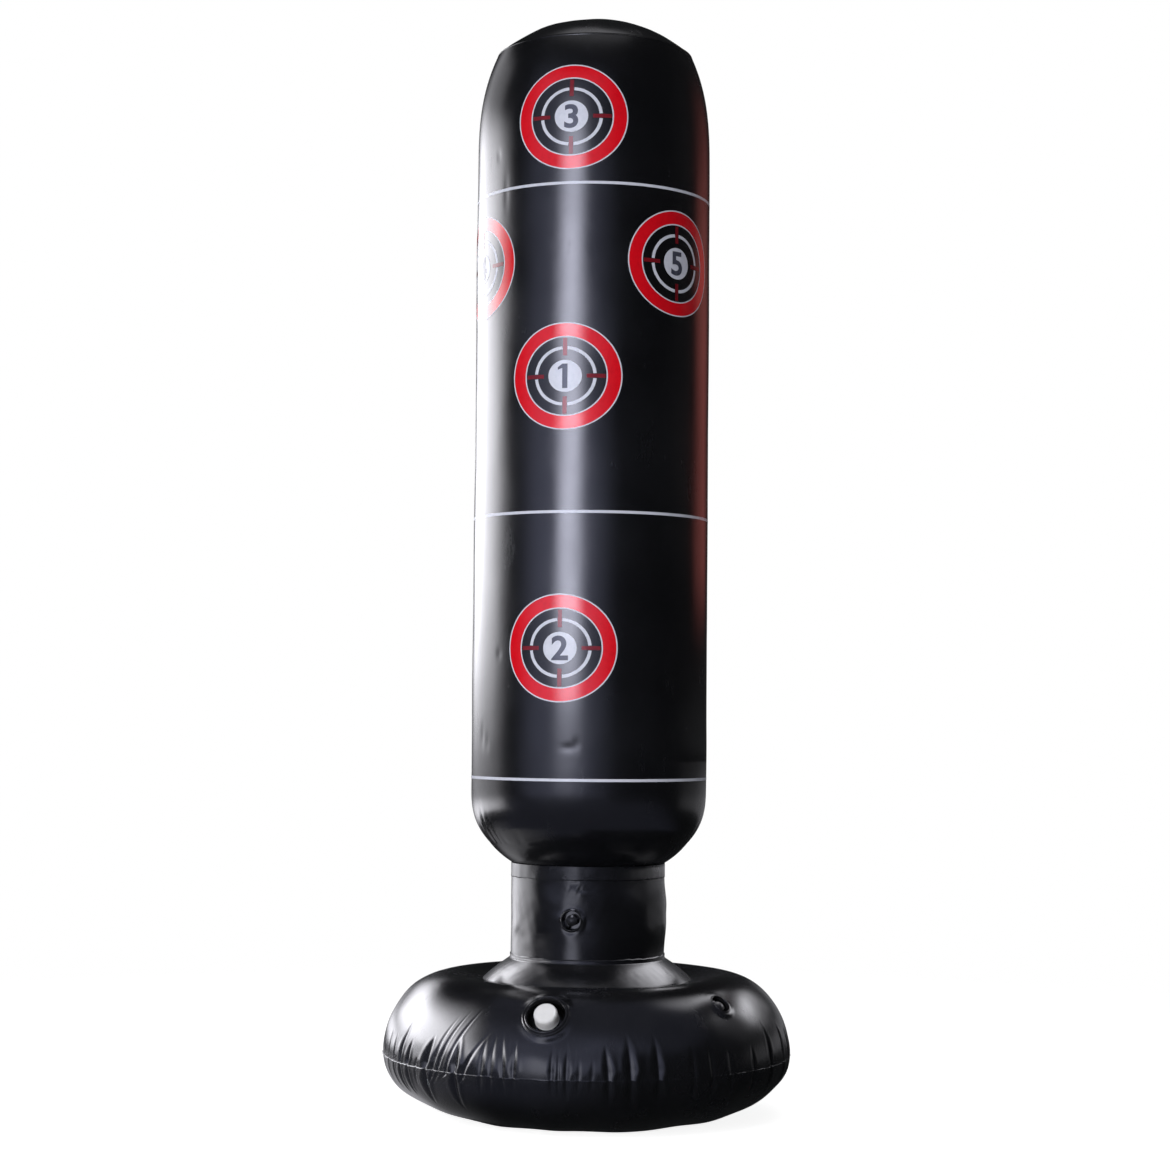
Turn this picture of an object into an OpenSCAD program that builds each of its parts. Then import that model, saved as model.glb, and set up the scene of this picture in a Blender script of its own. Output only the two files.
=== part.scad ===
// Free-standing inflatable punching bag, in millimetres.
// A water-weighted cushion base carries a narrow air-filled neck, and the neck carries a tall
// striking column. Every skin is PVC film, heat-welded to the next one along a ring.
// The origin is on the floor under the middle of the base, +Z is up and the front faces -Y.

/* [Film] */
// Thickness of the PVC film
film = 0.6; // [0.5:0.1:1]
// Width of the hem turned inside at each end weld of the column
hem = 6; // [4:0.5:9]
// Gap left between two skins that can move against each other
skin_gap = 0.3; // [0.2:0.05:0.5]

/* [Column] */
// Height of the standing bag, from the floor to the crown
total_h = 1600; // [1300:10:1800]
// Diameter of the striking column
column_d = 342; // [310:2:400]
// Diameter of the weld ring at the top and at the bottom of the column
end_seam_d = 288; // [260:2:300]
// Height of the domed top panel above its weld ring
crown_h = 54; // [30:1:70]
// Length over which the sleeve draws in to its top weld
top_draw = 160; // [100:5:220]
// Length over which the sleeve draws in to its bottom weld
bottom_draw = 78; // [50:2:120]
// Height of the sloping panel that closes the column's bottom
bottom_panel_h = 29; // [20:1:45]
// Width of the overlap where the sleeve's sheet is welded to itself at the back
lap_w = 12; // [8:1:20]

/* [Neck] */
// Diameter of the neck
neck_d = 223; // [200:1:240]
// Height of the neck above the skirt's weld
neck_h = 137; // [110:1:180]
// Diameter of the skirt where it lies on the base
skirt_d = 302; // [270:2:330]
// Height of the skirt's slope
skirt_h = 31; // [20:1:40]
// Height of the lip that welds the skirt round the neck
skirt_lip = 6; // [4:0.5:10]
// Height of the weld band round the top of the neck
band_h = 20; // [10:1:26]

/* [Base] */
// Diameter of the base at its side seam, without the fin
base_d = 588; // [550:2:650]
// Height of the base at its crest
base_h = 203; // [180:1:230]
// Height of the side seam above the floor
seam_z = 90; // [86:1:110]
// Diameter of the ring where the base is highest
crest_d = 396; // [370:2:430]
// How far the middle of the base lies below its crest
crest_dip = 8; // [4:0.5:12]
// Diameter of the flat foot on the floor
foot_d = 260; // [240:2:320]
// Width of the fin where the two base skins are welded together
fin = 3; // [2:0.5:6]
// Height of the water inside the base
water_h = 77; // [50:1:84]

/* [Filling port] */
// How far in from the base's side seam the filling port is centred
port_inset = 30; // [26:1:40]
// Diameter of the pocket that the cap stands in
port_pocket_d = 52; // [48:1:60]
// Width of the flange that the pocket lays over the skin
port_flange_w = 7; // [3:0.5:10]
// Depth of that pocket
port_depth = 14; // [12:0.5:18]
// Diameter of the spout inside the cap
spout_d = 27; // [24:0.5:29]
// Bore of the spout
spout_bore = 20; // [14:0.5:21]
// How far the spout stands above the skin
spout_rise = 2.5; // [2:0.5:6]
// Outer diameter of the white cap
cap_d = 33.5; // [33:0.5:42]
// Overall height of the cap
cap_h = 18; // [16:0.5:19]
// Thickness of the cap's top
cap_top = 2.5; // [2:0.1:4]
// Radius of the cap's upper edge
cap_round = 3; // [1:0.25:4]
// Thickness of the gasket inside the cap
gasket_t = 2; // [1.5:0.1:3]

/* [Air valves] */
// How far in from the base's side seam the base's air valve is centred
base_valve_inset = 38; // [30:1:46]
// Angle of that valve round the base, from the front towards +X
base_valve_angle = 58; // [40:1:90]
// Height of the neck's air valve above the skirt's weld
neck_valve_rise = 61; // [50:1:70]
// Diameter of a valve's pocket
valve_pocket_d = 28; // [27:0.5:32]
// Width of the flange that a valve's pocket lays over the skin
valve_flange_w = 3; // [2:0.25:5]
// Depth of a valve's pocket
valve_depth = 13; // [12:0.5:16]
// Outer diameter of a valve's stem
stem_d = 14; // [12:0.5:15]
// Bore of a valve's stem
stem_bore = 8; // [6:0.25:9]
// How far the stem's end lies below the skin
stem_sink = 3.5; // [3.2:0.1:5]
// Diameter of the plug's head
plug_d = 16; // [15.5:0.25:17]
// Thickness of the plug's head
plug_head = 3; // [2:0.1:3.1]
// Length of the plug's shank in the stem
plug_shank = 7; // [4:0.25:8]
// Width of the strap that keeps the plug on the valve
strap_w = 4; // [2.5:0.25:6]
// Thickness of the strap
strap_t = 0.8; // [0.6:0.1:1]
// Room between the strap's loop and the pocket's wall
strap_room = 1; // [0.5:0.1:1.5]
// Thickness of the check flap under the stem
flap_t = 0.8; // [0.6:0.1:1.2]
// How far the flap overlaps the rim of the stem's bore
flap_lap = 1.5; // [1:0.1:2]

/* [Fittings] */
// Wall of a moulded pocket
pocket_wall = 2; // [1.5:0.25:3]
// Thickness of the flange that a moulded pocket lays over the skin
flange_t = 1; // [0.8:0.1:1.5]
// Gap between a moulded fitting and the hole that it sits in
fitting_gap = 0.3; // [0.2:0.05:0.5]
// Gap between a stopper and its seat
seat_gap = 0.1; // [0.05:0.05:0.2]
// Gap between a plug's shank and the stem's bore
plug_gap = 0.1; // [0.05:0.05:0.2]
// Gap between the cap's thread and the spout's thread
thread_gap = 0.5; // [0.3:0.1:0.8]

/* [Hidden] */
$fn = 96;

// How sharply the sleeve draws in: a higher power keeps it straight for longer
draw_power = 2.7;
// How far the bottom panel and the skirt bulge past a straight cone
panel_bulge = 2;
skirt_bulge = 1.5;
curve_steps = 12;
// How far a cutting shape runs past the solid that it cuts
overcut = 1;

film_black = [0.06, 0.06, 0.07];
moulded_black = [0.09, 0.09, 0.10];
cap_white = [0.88, 0.88, 0.90];
gasket_grey = [0.35, 0.35, 0.36];
water_blue = [0.55, 0.70, 0.80];

column_r = column_d / 2;
end_seam_r = end_seam_d / 2;
neck_r = neck_d / 2;
skirt_r = skirt_d / 2;
base_r = base_d / 2;
crest_r = crest_d / 2;
foot_r = foot_d / 2;

// Heights of the weld rings, from the base upwards
base_mid_z = base_h - crest_dip;
skirt_weld_z = base_mid_z + skirt_h;
neck_top_z = skirt_weld_z + neck_h;
bottom_seam_z = neck_top_z + bottom_panel_h;
top_seam_z = total_h - crown_h;

// Half the width of the base's side bulge, above and below the seam
upper_bulge = base_r - crest_r;
lower_bulge = base_r - foot_r;

// Height and slope of the base's outer side at a distance from the axis
function base_side_angle(r) = asin((r - crest_r) / upper_bulge);
function base_side_z(r) = seam_z + (base_h - seam_z) * cos(base_side_angle(r));
function base_side_tilt(r) =
    atan2(sin(base_side_angle(r)) / upper_bulge, cos(base_side_angle(r)) / (base_h - seam_z));

port_r = base_r - port_inset;
port_z = base_side_z(port_r);
base_valve_r = base_r - base_valve_inset;
base_valve_z = base_side_z(base_valve_r);
neck_valve_z = skirt_weld_z + neck_valve_rise;

function backwards(points) = [for (i = [len(points) - 1:-1:0]) points[i]];

// Sleeve radius at a height: a straight tube that draws in towards both end welds
function draw_share(z) =
    max(0, (z - top_seam_z + top_draw) / top_draw, (bottom_seam_z + bottom_draw - z) / bottom_draw);
function sleeve_r(z) = column_r - (column_r - end_seam_r) * pow(draw_share(z), draw_power);
// Film thickness measured level, which grows where the sleeve slopes
function level_film(z) = film * sqrt(1 + pow((sleeve_r(z + 1) - sleeve_r(z - 1)) / 2, 2));

// Points of a curved panel between two places, bulged square to the straight line between them
function bulged(from, to, bulge) =
    let (along = to - from, out = [along.y, -along.x] / norm(along))
    [for (i = [0:curve_steps])
        let (t = i / curve_steps) from + along * t + out * bulge * 4 * t * (1 - t)];

// Quarter ellipse from level to upright
function quarter(centre, a, b, last = 90) =
    [for (i = [0:curve_steps])
        let (u = last * i / curve_steps) centre + [a * sin(u), b * cos(u)]];

// Places on the skins, each with its own Z axis pointing out of the skin
module at_port() {
    translate([0, -port_r, port_z]) rotate([base_side_tilt(port_r), 0, 0]) children();
}

module at_base_valve() {
    rotate([0, 0, base_valve_angle])
        translate([0, -base_valve_r, base_valve_z])
            rotate([base_side_tilt(base_valve_r), 0, 0]) children();
}

module at_neck_valve() {
    translate([0, -neck_r, neck_valve_z]) rotate([90, 0, 0]) children();
}

// Hole that a moulded pocket of the given inner diameter needs in a skin
module pocket_hole(pocket_d, depth) {
    hole_r = pocket_d / 2 + pocket_wall + fitting_gap;
    translate([0, 0, -depth]) cylinder(r = hole_r, h = depth + pocket_d);
}

// Moulded pocket: a flange over the skin and a wall that sinks through it
module pocket(pocket_d, depth, flange_w) {
    pocket_r = pocket_d / 2;
    outer_r = pocket_r + pocket_wall;
    rotate_extrude()
        polygon([
            [pocket_r, -depth], [outer_r, -depth], [outer_r, fitting_gap],
            [outer_r + flange_w, fitting_gap], [outer_r + flange_w, fitting_gap + flange_t / 2],
            [outer_r, fitting_gap + flange_t], [pocket_r, fitting_gap + flange_t],
        ]);
}

// Floor of a moulded pocket, with a bored spout standing in the middle
module floor_and_spout(pocket_d, depth, spout_outer, bore, spout_top) {
    outer_r = pocket_d / 2 + pocket_wall;
    floor_z = -depth - pocket_wall;
    rotate_extrude()
        polygon([
            [bore / 2, floor_z], [outer_r, floor_z], [outer_r, -depth], [spout_outer / 2, -depth],
            [spout_outer / 2, spout_top], [bore / 2, spout_top],
        ]);
}

// Lower half of the base: a flat foot and a side that rises to the seam's fin
module base_lower_skin() {
    seam_centre = [foot_r, seam_z];
    side = quarter(seam_centre, lower_bulge, -seam_z, acos(film / seam_z));
    fin_edge = [[base_r + fin, seam_z - film], [base_r + fin, seam_z]];
    inner = quarter(seam_centre, lower_bulge - film, film - seam_z);
    color(film_black) rotate_extrude()
        polygon(concat([[0, 0]], side, fin_edge, backwards(inner), [[0, film]]));
}

// Upper half of the base: a level middle under the neck, a crest, and a side down to the seam's fin
module base_upper_skin() {
    rise = [for (i = [0:curve_steps])
        let (t = i / curve_steps)
        [skirt_r + (crest_r - skirt_r) * t, base_mid_z + crest_dip * (1 - cos(180 * t)) / 2]];
    crest = [crest_r, seam_z];
    side = quarter(crest, upper_bulge, base_h - seam_z, acos(film / (base_h - seam_z)));
    fin_edge = [[base_r + fin, seam_z + film], [base_r + fin, seam_z]];
    outer = concat([[0, base_mid_z]], rise, side, fin_edge);
    inner = concat([[0, base_mid_z - film]], [for (p = rise) p - [0, film]],
        quarter(crest, upper_bulge - film, base_h - film - seam_z));
    color(film_black) difference() {
        rotate_extrude() polygon(concat(outer, backwards(inner)));
        at_port() pocket_hole(port_pocket_d, port_depth);
        at_base_valve() pocket_hole(valve_pocket_d, valve_depth);
    }
}

// Water inside the base, resting on the lower skin
module water_ballast() {
    inset = film + skin_gap;
    side = quarter([foot_r, seam_z], lower_bulge - inset, inset - seam_z,
        acos((seam_z - water_h) / (seam_z - inset)));
    color(water_blue) rotate_extrude()
        polygon(concat([[0, inset]], side, [[0, water_h]]));
}

// Skirt: a cone from the base's level middle up to a lip round the neck
module neck_skirt() {
    lip_r = neck_r + skin_gap;
    outer = bulged([skirt_r, base_mid_z], [lip_r + film, skirt_weld_z], skirt_bulge);
    inner = bulged([skirt_r - 2 * film, base_mid_z], [lip_r, skirt_weld_z - film], skirt_bulge);
    color(film_black) rotate_extrude()
        polygon(concat(outer,
            [[lip_r + film, skirt_weld_z + skirt_lip], [lip_r, skirt_weld_z + skirt_lip]],
            backwards(inner)));
}

// Filling port: the soft pocket that the cap stands in
module fill_port_pocket() {
    color(moulded_black) at_port() pocket(port_pocket_d, port_depth, port_flange_w);
}

// Hard threaded spout, welded to the pocket's lower edge
module fill_spout() {
    color(moulded_black) at_port()
        floor_and_spout(port_pocket_d, port_depth, spout_d, spout_bore, spout_rise);
}

gasket_z = spout_rise + seat_gap;
cap_ceiling_z = gasket_z + gasket_t + seat_gap;
cap_crown_z = cap_ceiling_z + cap_top;
cap_bore_r = spout_d / 2 + thread_gap;

// Flat ring that the cap presses on the spout's end
module fill_cap_gasket() {
    color(gasket_grey) at_port() translate([0, 0, gasket_z]) difference() {
        cylinder(d = spout_d, h = gasket_t);
        translate([0, 0, -overcut]) cylinder(d = spout_bore, h = gasket_t + 2 * overcut);
    }
}

// White screw cap with a rounded upper edge
module fill_cap() {
    cap_r = cap_d / 2;
    edge = quarter([cap_r - cap_round, cap_crown_z - cap_round], cap_round, cap_round);
    color(cap_white) at_port() rotate_extrude()
        polygon(concat([[0, cap_crown_z]], edge,
            [[cap_r, cap_crown_z - cap_h], [cap_bore_r, cap_crown_z - cap_h],
             [cap_bore_r, cap_ceiling_z], [0, cap_ceiling_z]]));
}

stem_end_z = -stem_sink;
plug_seat_z = stem_end_z + seat_gap;
plug_face_z = plug_seat_z + plug_head;
flap_r = stem_bore / 2 + flap_lap;
flap_z = -valve_depth - pocket_wall - skin_gap - flap_t;

// Air valve, moulded in one piece: pocket, floor and stem
module valve_body() {
    color(moulded_black) union() {
        pocket(valve_pocket_d, valve_depth, valve_flange_w);
        floor_and_spout(valve_pocket_d, valve_depth, stem_d, stem_bore, stem_end_z);
    }
}

// Stopper: a rounded head on the stem's end and a shank inside its bore
module valve_plug() {
    head_r = plug_d / 2;
    shank_r = stem_bore / 2 - plug_gap;
    head_round = plug_head / 3;
    edge = quarter([head_r - head_round, plug_face_z - head_round], head_round, head_round);
    color(moulded_black) rotate_extrude()
        polygon(concat([[0, plug_face_z]], edge,
            [[head_r, plug_seat_z], [shank_r, plug_seat_z],
             [shank_r, plug_seat_z - plug_shank], [0, plug_seat_z - plug_shank]]));
}

// Strap: a loop standing in the pocket, from the side of the stem up to the side of the plug's head
module valve_strap() {
    loop_x = plug_d / 2 + skin_gap;
    foot_x = stem_d / 2 + skin_gap;
    low_z = -valve_depth + skin_gap;
    loop_h = plug_face_z - plug_head / 4 - low_z;
    bend_r = min(valve_pocket_d / 2 - strap_room - loop_x, loop_h / 2);
    color(moulded_black)
        translate([0, strap_w / 2, 0]) rotate([90, 0, 0]) linear_extrude(strap_w) {
            translate([loop_x, low_z + bend_r]) mirror([0, 1]) strap_bend(bend_r);
            translate([loop_x, low_z + loop_h - bend_r]) strap_bend(bend_r);
            translate([loop_x + bend_r - strap_t, low_z + bend_r - strap_t / 4])
                square([strap_t, loop_h - 2 * bend_r + strap_t / 2]);
            translate([foot_x, low_z]) square([loop_x - foot_x, strap_t]);
        }
}

// Quarter ring that turns the strap from level to upright
module strap_bend(bend_r) {
    intersection() {
        difference() {
            circle(r = bend_r);
            circle(r = bend_r - strap_t);
        }
        square(bend_r);
    }
}

// Check flap: a thin disc that covers the stem's inner end
module valve_flap() {
    color(moulded_black) translate([0, 0, flap_z]) cylinder(r = flap_r, h = flap_t);
}

// Which way each valve's strap points, round the valve's own axis
base_strap_turn = 135;
neck_strap_turn = -120;

// Neck: the narrow tube between the base and the column
module neck_tube() {
    low_z = base_mid_z + skin_gap;
    tube_h = neck_top_z - skin_gap - low_z;
    color(film_black) difference() {
        translate([0, 0, low_z]) cylinder(r = neck_r, h = tube_h);
        translate([0, 0, low_z - overcut]) cylinder(r = neck_r - film, h = tube_h + 2 * overcut);
        at_neck_valve() pocket_hole(valve_pocket_d, valve_depth);
    }
}

// Weld band: the bottom panel's edge, turned down round the top of the neck
module neck_top_band() {
    band_r = neck_r + skin_gap;
    color(film_black) translate([0, 0, neck_top_z - skin_gap - band_h]) difference() {
        cylinder(r = band_r + film, h = band_h);
        translate([0, 0, -overcut]) cylinder(r = band_r, h = band_h + 2 * overcut);
    }
}

// Sloping ring that closes the column's bottom, from the neck out to the sleeve's bottom weld
module column_bottom_panel() {
    low_in = [neck_r - film, neck_top_z];
    outer = bulged(low_in, [end_seam_r, bottom_seam_z], panel_bulge);
    inner = bulged(low_in + [0, 1.5 * film], [end_seam_r - 3 * film, bottom_seam_z - film],
        panel_bulge);
    hem_edge = [[end_seam_r - hem, bottom_seam_z], [end_seam_r - hem, bottom_seam_z - film]];
    color(film_black) rotate_extrude() polygon(concat(outer, hem_edge, backwards(inner)));
}

// Striking sleeve: the printed tube, with a hem at each end and its overlap weld at the back
module column_sleeve() {
    low_z = bottom_seam_z + bottom_draw;
    high_z = top_seam_z - top_draw;
    hem_r = end_seam_r - hem;
    function heights(trim) = concat(
        [for (i = [0:curve_steps]) bottom_seam_z + max(trim, bottom_draw * i / curve_steps)],
        [for (i = [0:curve_steps]) high_z + min(top_draw - trim, top_draw * i / curve_steps)]);
    outer = [for (z = heights(0)) [sleeve_r(z), z]];
    inner = [for (z = heights(film)) [sleeve_r(z) - level_film(z), z]];
    top_hem = [[hem_r, top_seam_z], [hem_r, top_seam_z - film]];
    low_hem = [[hem_r, bottom_seam_z + film], [hem_r, bottom_seam_z]];
    lap_angle = 2 * asin(lap_w / column_d);
    color(film_black) union() {
        rotate_extrude() polygon(concat(outer, top_hem, backwards(inner), low_hem));
        rotate([0, 0, 90 - lap_angle / 2]) rotate_extrude(angle = lap_angle)
            translate([column_r - film / 2, low_z]) square([1.5 * film, high_z - low_z]);
    }
}

// Domed panel that closes the column's top
module column_top_panel() {
    dome_r = (end_seam_r * end_seam_r + crown_h * crown_h) / (2 * crown_h);
    dome_z = total_h - dome_r;
    function dome(r, low_z) =
        let (last = acos((low_z - dome_z) / r))
        [for (i = [0:curve_steps]) let (u = last * i / curve_steps) [r * sin(u), dome_z + r * cos(u)]];
    outer = dome(dome_r, top_seam_z);
    inner = dome(dome_r - film, top_seam_z + film);
    hem_edge = [[end_seam_r - hem, top_seam_z], [end_seam_r - hem, top_seam_z + film]];
    color(film_black) rotate_extrude() polygon(concat(outer, hem_edge, backwards(inner)));
}

base_lower_skin();
base_upper_skin();
water_ballast();
neck_skirt();
fill_port_pocket();
fill_spout();
fill_cap_gasket();
fill_cap();
at_base_valve() valve_body();  // base_valve_body
at_base_valve() rotate([0, 0, base_strap_turn]) valve_strap();  // base_valve_strap
at_base_valve() valve_plug();  // base_valve_plug
at_base_valve() valve_flap();  // base_valve_flap
neck_tube();
at_neck_valve() valve_body();  // neck_valve_body
at_neck_valve() rotate([0, 0, neck_strap_turn]) valve_strap();  // neck_valve_strap
at_neck_valve() valve_plug();  // neck_valve_plug
at_neck_valve() valve_flap();  // neck_valve_flap
neck_top_band();
column_bottom_panel();
column_sleeve();
column_top_panel();
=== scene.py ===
"""Looks of a free-standing inflatable punching bag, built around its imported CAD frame.

Lengths are in metres in the CAD's own frame: the floor is z = 0, +Z is up and the front faces -Y.
A bearing is an angle round the bag in degrees, from the front towards +X.
"""

import math

import bmesh
import bpy
import numpy as np
from mathutils import Matrix, Vector
from mathutils.bvhtree import BVHTree


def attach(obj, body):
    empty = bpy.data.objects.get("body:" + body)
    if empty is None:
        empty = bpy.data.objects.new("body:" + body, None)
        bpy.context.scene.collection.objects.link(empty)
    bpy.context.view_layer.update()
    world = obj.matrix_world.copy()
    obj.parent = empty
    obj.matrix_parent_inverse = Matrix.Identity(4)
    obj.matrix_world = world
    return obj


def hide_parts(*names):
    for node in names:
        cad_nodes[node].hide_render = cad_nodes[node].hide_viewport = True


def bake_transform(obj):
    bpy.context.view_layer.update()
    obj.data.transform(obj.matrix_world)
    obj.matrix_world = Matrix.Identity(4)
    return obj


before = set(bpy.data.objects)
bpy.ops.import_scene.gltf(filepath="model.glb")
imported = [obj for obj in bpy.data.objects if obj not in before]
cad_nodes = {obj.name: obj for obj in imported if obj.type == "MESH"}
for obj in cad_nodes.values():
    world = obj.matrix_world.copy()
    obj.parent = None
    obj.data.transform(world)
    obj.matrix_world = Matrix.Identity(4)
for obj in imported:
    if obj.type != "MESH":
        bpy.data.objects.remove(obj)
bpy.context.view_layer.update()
mm = 0.001

# Base lower skin
# The lower half of the water cushion: a disc of black PVC film that lies flat on the floor and is
# drawn up to the side seam by the water. The film is too long at the seam, so it gathers there in
# sharp folds, which run on into the upper skin.
foot_r = 130 * mm
seam_r, seam_z = 294 * mm, 90 * mm
lower_form = (foot_r, seam_r - foot_r, -seam_z)
fin_w, fin_t = 1.8 * mm, 0.35 * mm
fin_least, fin_thin_bearing, fin_power = 0.06, 40, 1.6

# Folds seen from the front: bearing at the seam and lean of the upper end in degrees, reach above
# and below the seam, half width and depth in millimetres
folds = [
    (-66, 1.0, 36, 38, 2.4, 2.2), (-60, 1.0, 46, 46, 2.6, 2.6), (-55, 0.3, 42, 48, 2.6, 3.2),
    (-50.3, 2.6, 62, 52, 3.6, 5.4), (-45.8, 1.6, 38, 52, 3.4, 4.6), (-41.6, 1.0, 15, 34, 2.0, 1.8),
    (-37.2, 2.8, 48, 60, 4.8, 6.0), (-33.8, 6.4, 84, 26, 2.0, 2.6), (-31.6, 8.0, 96, 22, 2.0, 2.6),
    (-28.6, 9.6, 106, 14, 2.2, 2.4), (-25.8, 1.2, 54, 62, 4.4, 4.4), (-22.4, 8.0, 66, 20, 2.4, 2.0),
    (-17.2, 1.0, 54, 30, 3.2, 1.8), (-14.2, 0.6, 60, 26, 2.8, 1.6), (-10.6, -1.0, 60, 32, 3.2, 2.0),
    (-7.6, 0.3, 52, 34, 3.4, 2.2), (2.8, 0.2, 50, 30, 3.0, 2.2), (4.6, 0.0, 44, 26, 2.2, 1.4),
    (6.8, 0.2, 52, 32, 3.2, 2.3), (10.0, 0.2, 32, 20, 2.6, 1.1), (13.4, 0.4, 30, 18, 2.8, 1.0),
    (17.8, -0.9, 50, 40, 4.2, 2.8), (23.8, -0.9, 64, 58, 5.2, 3.5), (31.4, -0.8, 62, 58, 5.0, 3.3),
    (41.8, -0.8, 48, 46, 3.8, 2.2), (47.8, -0.9, 50, 42, 3.8, 2.2), (54.4, -0.8, 46, 32, 3.4, 1.8),
    (64.0, -0.6, 38, 36, 3.2, 1.9), (73.2, -0.7, 68, 42, 4.0, 3.0), (83.4, -0.7, 68, 44, 3.8, 3.0),
]
# The back is guessed: folds like these, at random
fold_seed = np.random.default_rng(21)
back_bearing, back_end = 90.0, 288.0
while back_bearing < back_end:
    folds.append((back_bearing, fold_seed.normal(0, 1.6), fold_seed.uniform(26, 66),
                  fold_seed.uniform(26, 58), fold_seed.uniform(2.2, 4.2), fold_seed.uniform(2.0, 5.0)))
    back_bearing += fold_seed.uniform(3.2, 7.6)


def aside_of(bearings, middle, radius):
    """Distance round the bag from a middle bearing, at a radius."""
    return np.radians((bearings - middle + 180) % 360 - 180) * radius


def fold_offset(bearings, radii, distance, above):
    """How far the folds press the skin in, by bearing and by distance from the seam.

    A fold opens from the seam, narrows to a point, and has a raised shoulder on each side of its valley.
    """
    pressed = np.zeros(np.broadcast(bearings, distance).shape)
    for fold_bearing, lean, up, down, half_width, depth in folds:
        reach = (up if above else down) * mm
        along = np.clip(distance / reach, 0, 1)
        middle = fold_bearing + lean * along**1.4 * (1 if above else -0.4)
        taper = np.clip(1 - along**2, 0, 1)
        opened = 0.6 + 0.4 * np.clip(along / 0.22, 0, 1)
        width = half_width * mm * (0.12 + 0.88 * taper**0.8) * opened
        x = aside_of(bearings, middle, radii) / width
        valley = np.exp(-np.abs(x) ** 1.35)
        ridge = min(0.46, 0.1 * depth)
        shoulder = np.exp(-(((np.abs(x) - 2.3) / 1.1) ** 2)) * np.where(x > 0, ridge, ridge / 2)
        fading = taper**1.15 * opened * (1 if above else 1 - 0.45 * along)
        pressed += depth * mm * fading * (valley - shoulder)
    return pressed


def swell(points, wavelength, seed):
    """Smooth random swell between about -1 and 1, in waves of about the given length."""
    rng = np.random.default_rng(seed)
    ways = rng.normal(size=(8, 3))
    ways /= np.linalg.norm(ways, axis=1, keepdims=True) * wavelength * rng.uniform(0.7, 1.5, (8, 1))
    waves = np.sin(2 * np.pi * (points @ ways.T + rng.uniform(0, 1, 8)))
    return waves.sum(-1) / 8**0.5


def smooth_step(value, low, high):
    """Share from 0 at the low end to 1 at the high end, without corners."""
    share = np.clip((value - low) / (high - low), 0, 1)
    return share * share * (3 - 2 * share)


def side_rows(centre_r, half_w, half_h, distances):
    """Places and outward directions on the base's bulging side, by distance from the seam."""
    turn = np.linspace(0, np.pi / 2, 800)
    r, z = centre_r + half_w * np.cos(turn), seam_z + half_h * np.sin(turn)
    walked = np.concatenate([[0], np.cumsum(np.hypot(np.diff(r), np.diff(z)))])
    at = np.interp(distances, walked, turn)
    out = np.stack([np.cos(at) / half_w, np.sin(at) / half_h], -1)
    out /= np.linalg.norm(out, axis=1, keepdims=True)
    return centre_r + half_w * np.cos(at), seam_z + half_h * np.sin(at), out, walked[-1]


def even_bearings(count):
    """Bearings all round, in even steps."""
    return np.arange(count) * 360 / count


def mm_rows(*lengths):
    """Lengths in millimetres, one for each ring."""
    return np.array(lengths)[:, None] * mm


def rings_of(radii, heights, bearings):
    """Points on rings: one row for each radius and height, one column for each bearing."""
    turn = np.radians(bearings)
    radii, heights = np.broadcast_arrays(radii, heights)
    return np.stack([radii * np.sin(turn), -radii * np.cos(turn),
                     np.broadcast_to(heights, (radii * turn).shape)], -1)


def mesh_piece(name, points, faces):
    """Smooth mesh object from lists of points and faces."""
    mesh = bpy.data.meshes.new(name)
    mesh.from_pydata(points, [], faces)
    mesh.shade_smooth()
    piece = bpy.data.objects.new(name, mesh)
    bpy.context.scene.collection.objects.link(piece)
    return piece


def ring_mesh(name, rings, start_pole=None, end_pole=None, loop=False):
    """Mesh through rings of points. It faces outwards where the rings are listed upwards."""
    rows, around, _ = rings.shape
    row, column = np.meshgrid(np.arange(rows if loop else rows - 1), np.arange(around), indexing="ij")
    above, beside = (row + 1) % rows, (column + 1) % around
    quads = np.stack([row * around + column, row * around + beside,
                      above * around + beside, above * around + column], -1).reshape(-1, 4)
    points, faces = rings.reshape(-1, 3).tolist(), quads.tolist()
    last = (rows - 1) * around
    if start_pole is not None:
        faces += [(len(points), (j + 1) % around, j) for j in range(around)]
        points.append(tuple(start_pole))
    if end_pole is not None:
        faces += [(len(points), last + j, last + (j + 1) % around) for j in range(around)]
        points.append(tuple(end_pole))
    return mesh_piece(name, points, faces)


def feed(node, inputs):
    """Feeds a node's inputs, each with a constant or from a socket."""
    for socket, source in inputs.items():
        if isinstance(source, bpy.types.NodeSocket):
            node.id_data.links.new(source, node.inputs[socket])
        else:
            node.inputs[socket].default_value = source
    return node


def add_node(tree, kind, inputs=None, **settings):
    """Adds a node with its settings, and feeds its inputs."""
    made = tree.nodes.new(kind)
    for setting, value in settings.items():
        setattr(made, setting, value)
    return feed(made, inputs or {})


def result_of(tree, kind, inputs=None, **settings):
    """First output of a new node."""
    return add_node(tree, kind, inputs, **settings).outputs[0]


def calc(tree, operation, *values):
    """Result of a math node on sockets or constants."""
    return result_of(tree, "ShaderNodeMath", dict(enumerate(values)), operation=operation)


def new_material(name, roughness, specular=0.5):
    """New material, with its tree and its shader."""
    material = bpy.data.materials.new(name)
    material.use_nodes = True
    tree = material.node_tree
    shader = feed(tree.nodes["Principled BSDF"], {"Roughness": roughness, "Specular IOR Level": specular})
    return material, tree, shader


def noise_on(tree, scale, detail=2.0, roughness=0.5, stretch=None):
    """Noise on Object coordinates, with an optional stretch of the pattern along the axes."""
    place = add_node(tree, "ShaderNodeTexCoord").outputs["Object"]
    if stretch:
        place = result_of(tree, "ShaderNodeMapping", {"Vector": place, "Scale": stretch})
    return result_of(tree, "ShaderNodeTexNoise", {
        "Vector": place, "Scale": scale, "Detail": detail, "Roughness": roughness})


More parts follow.
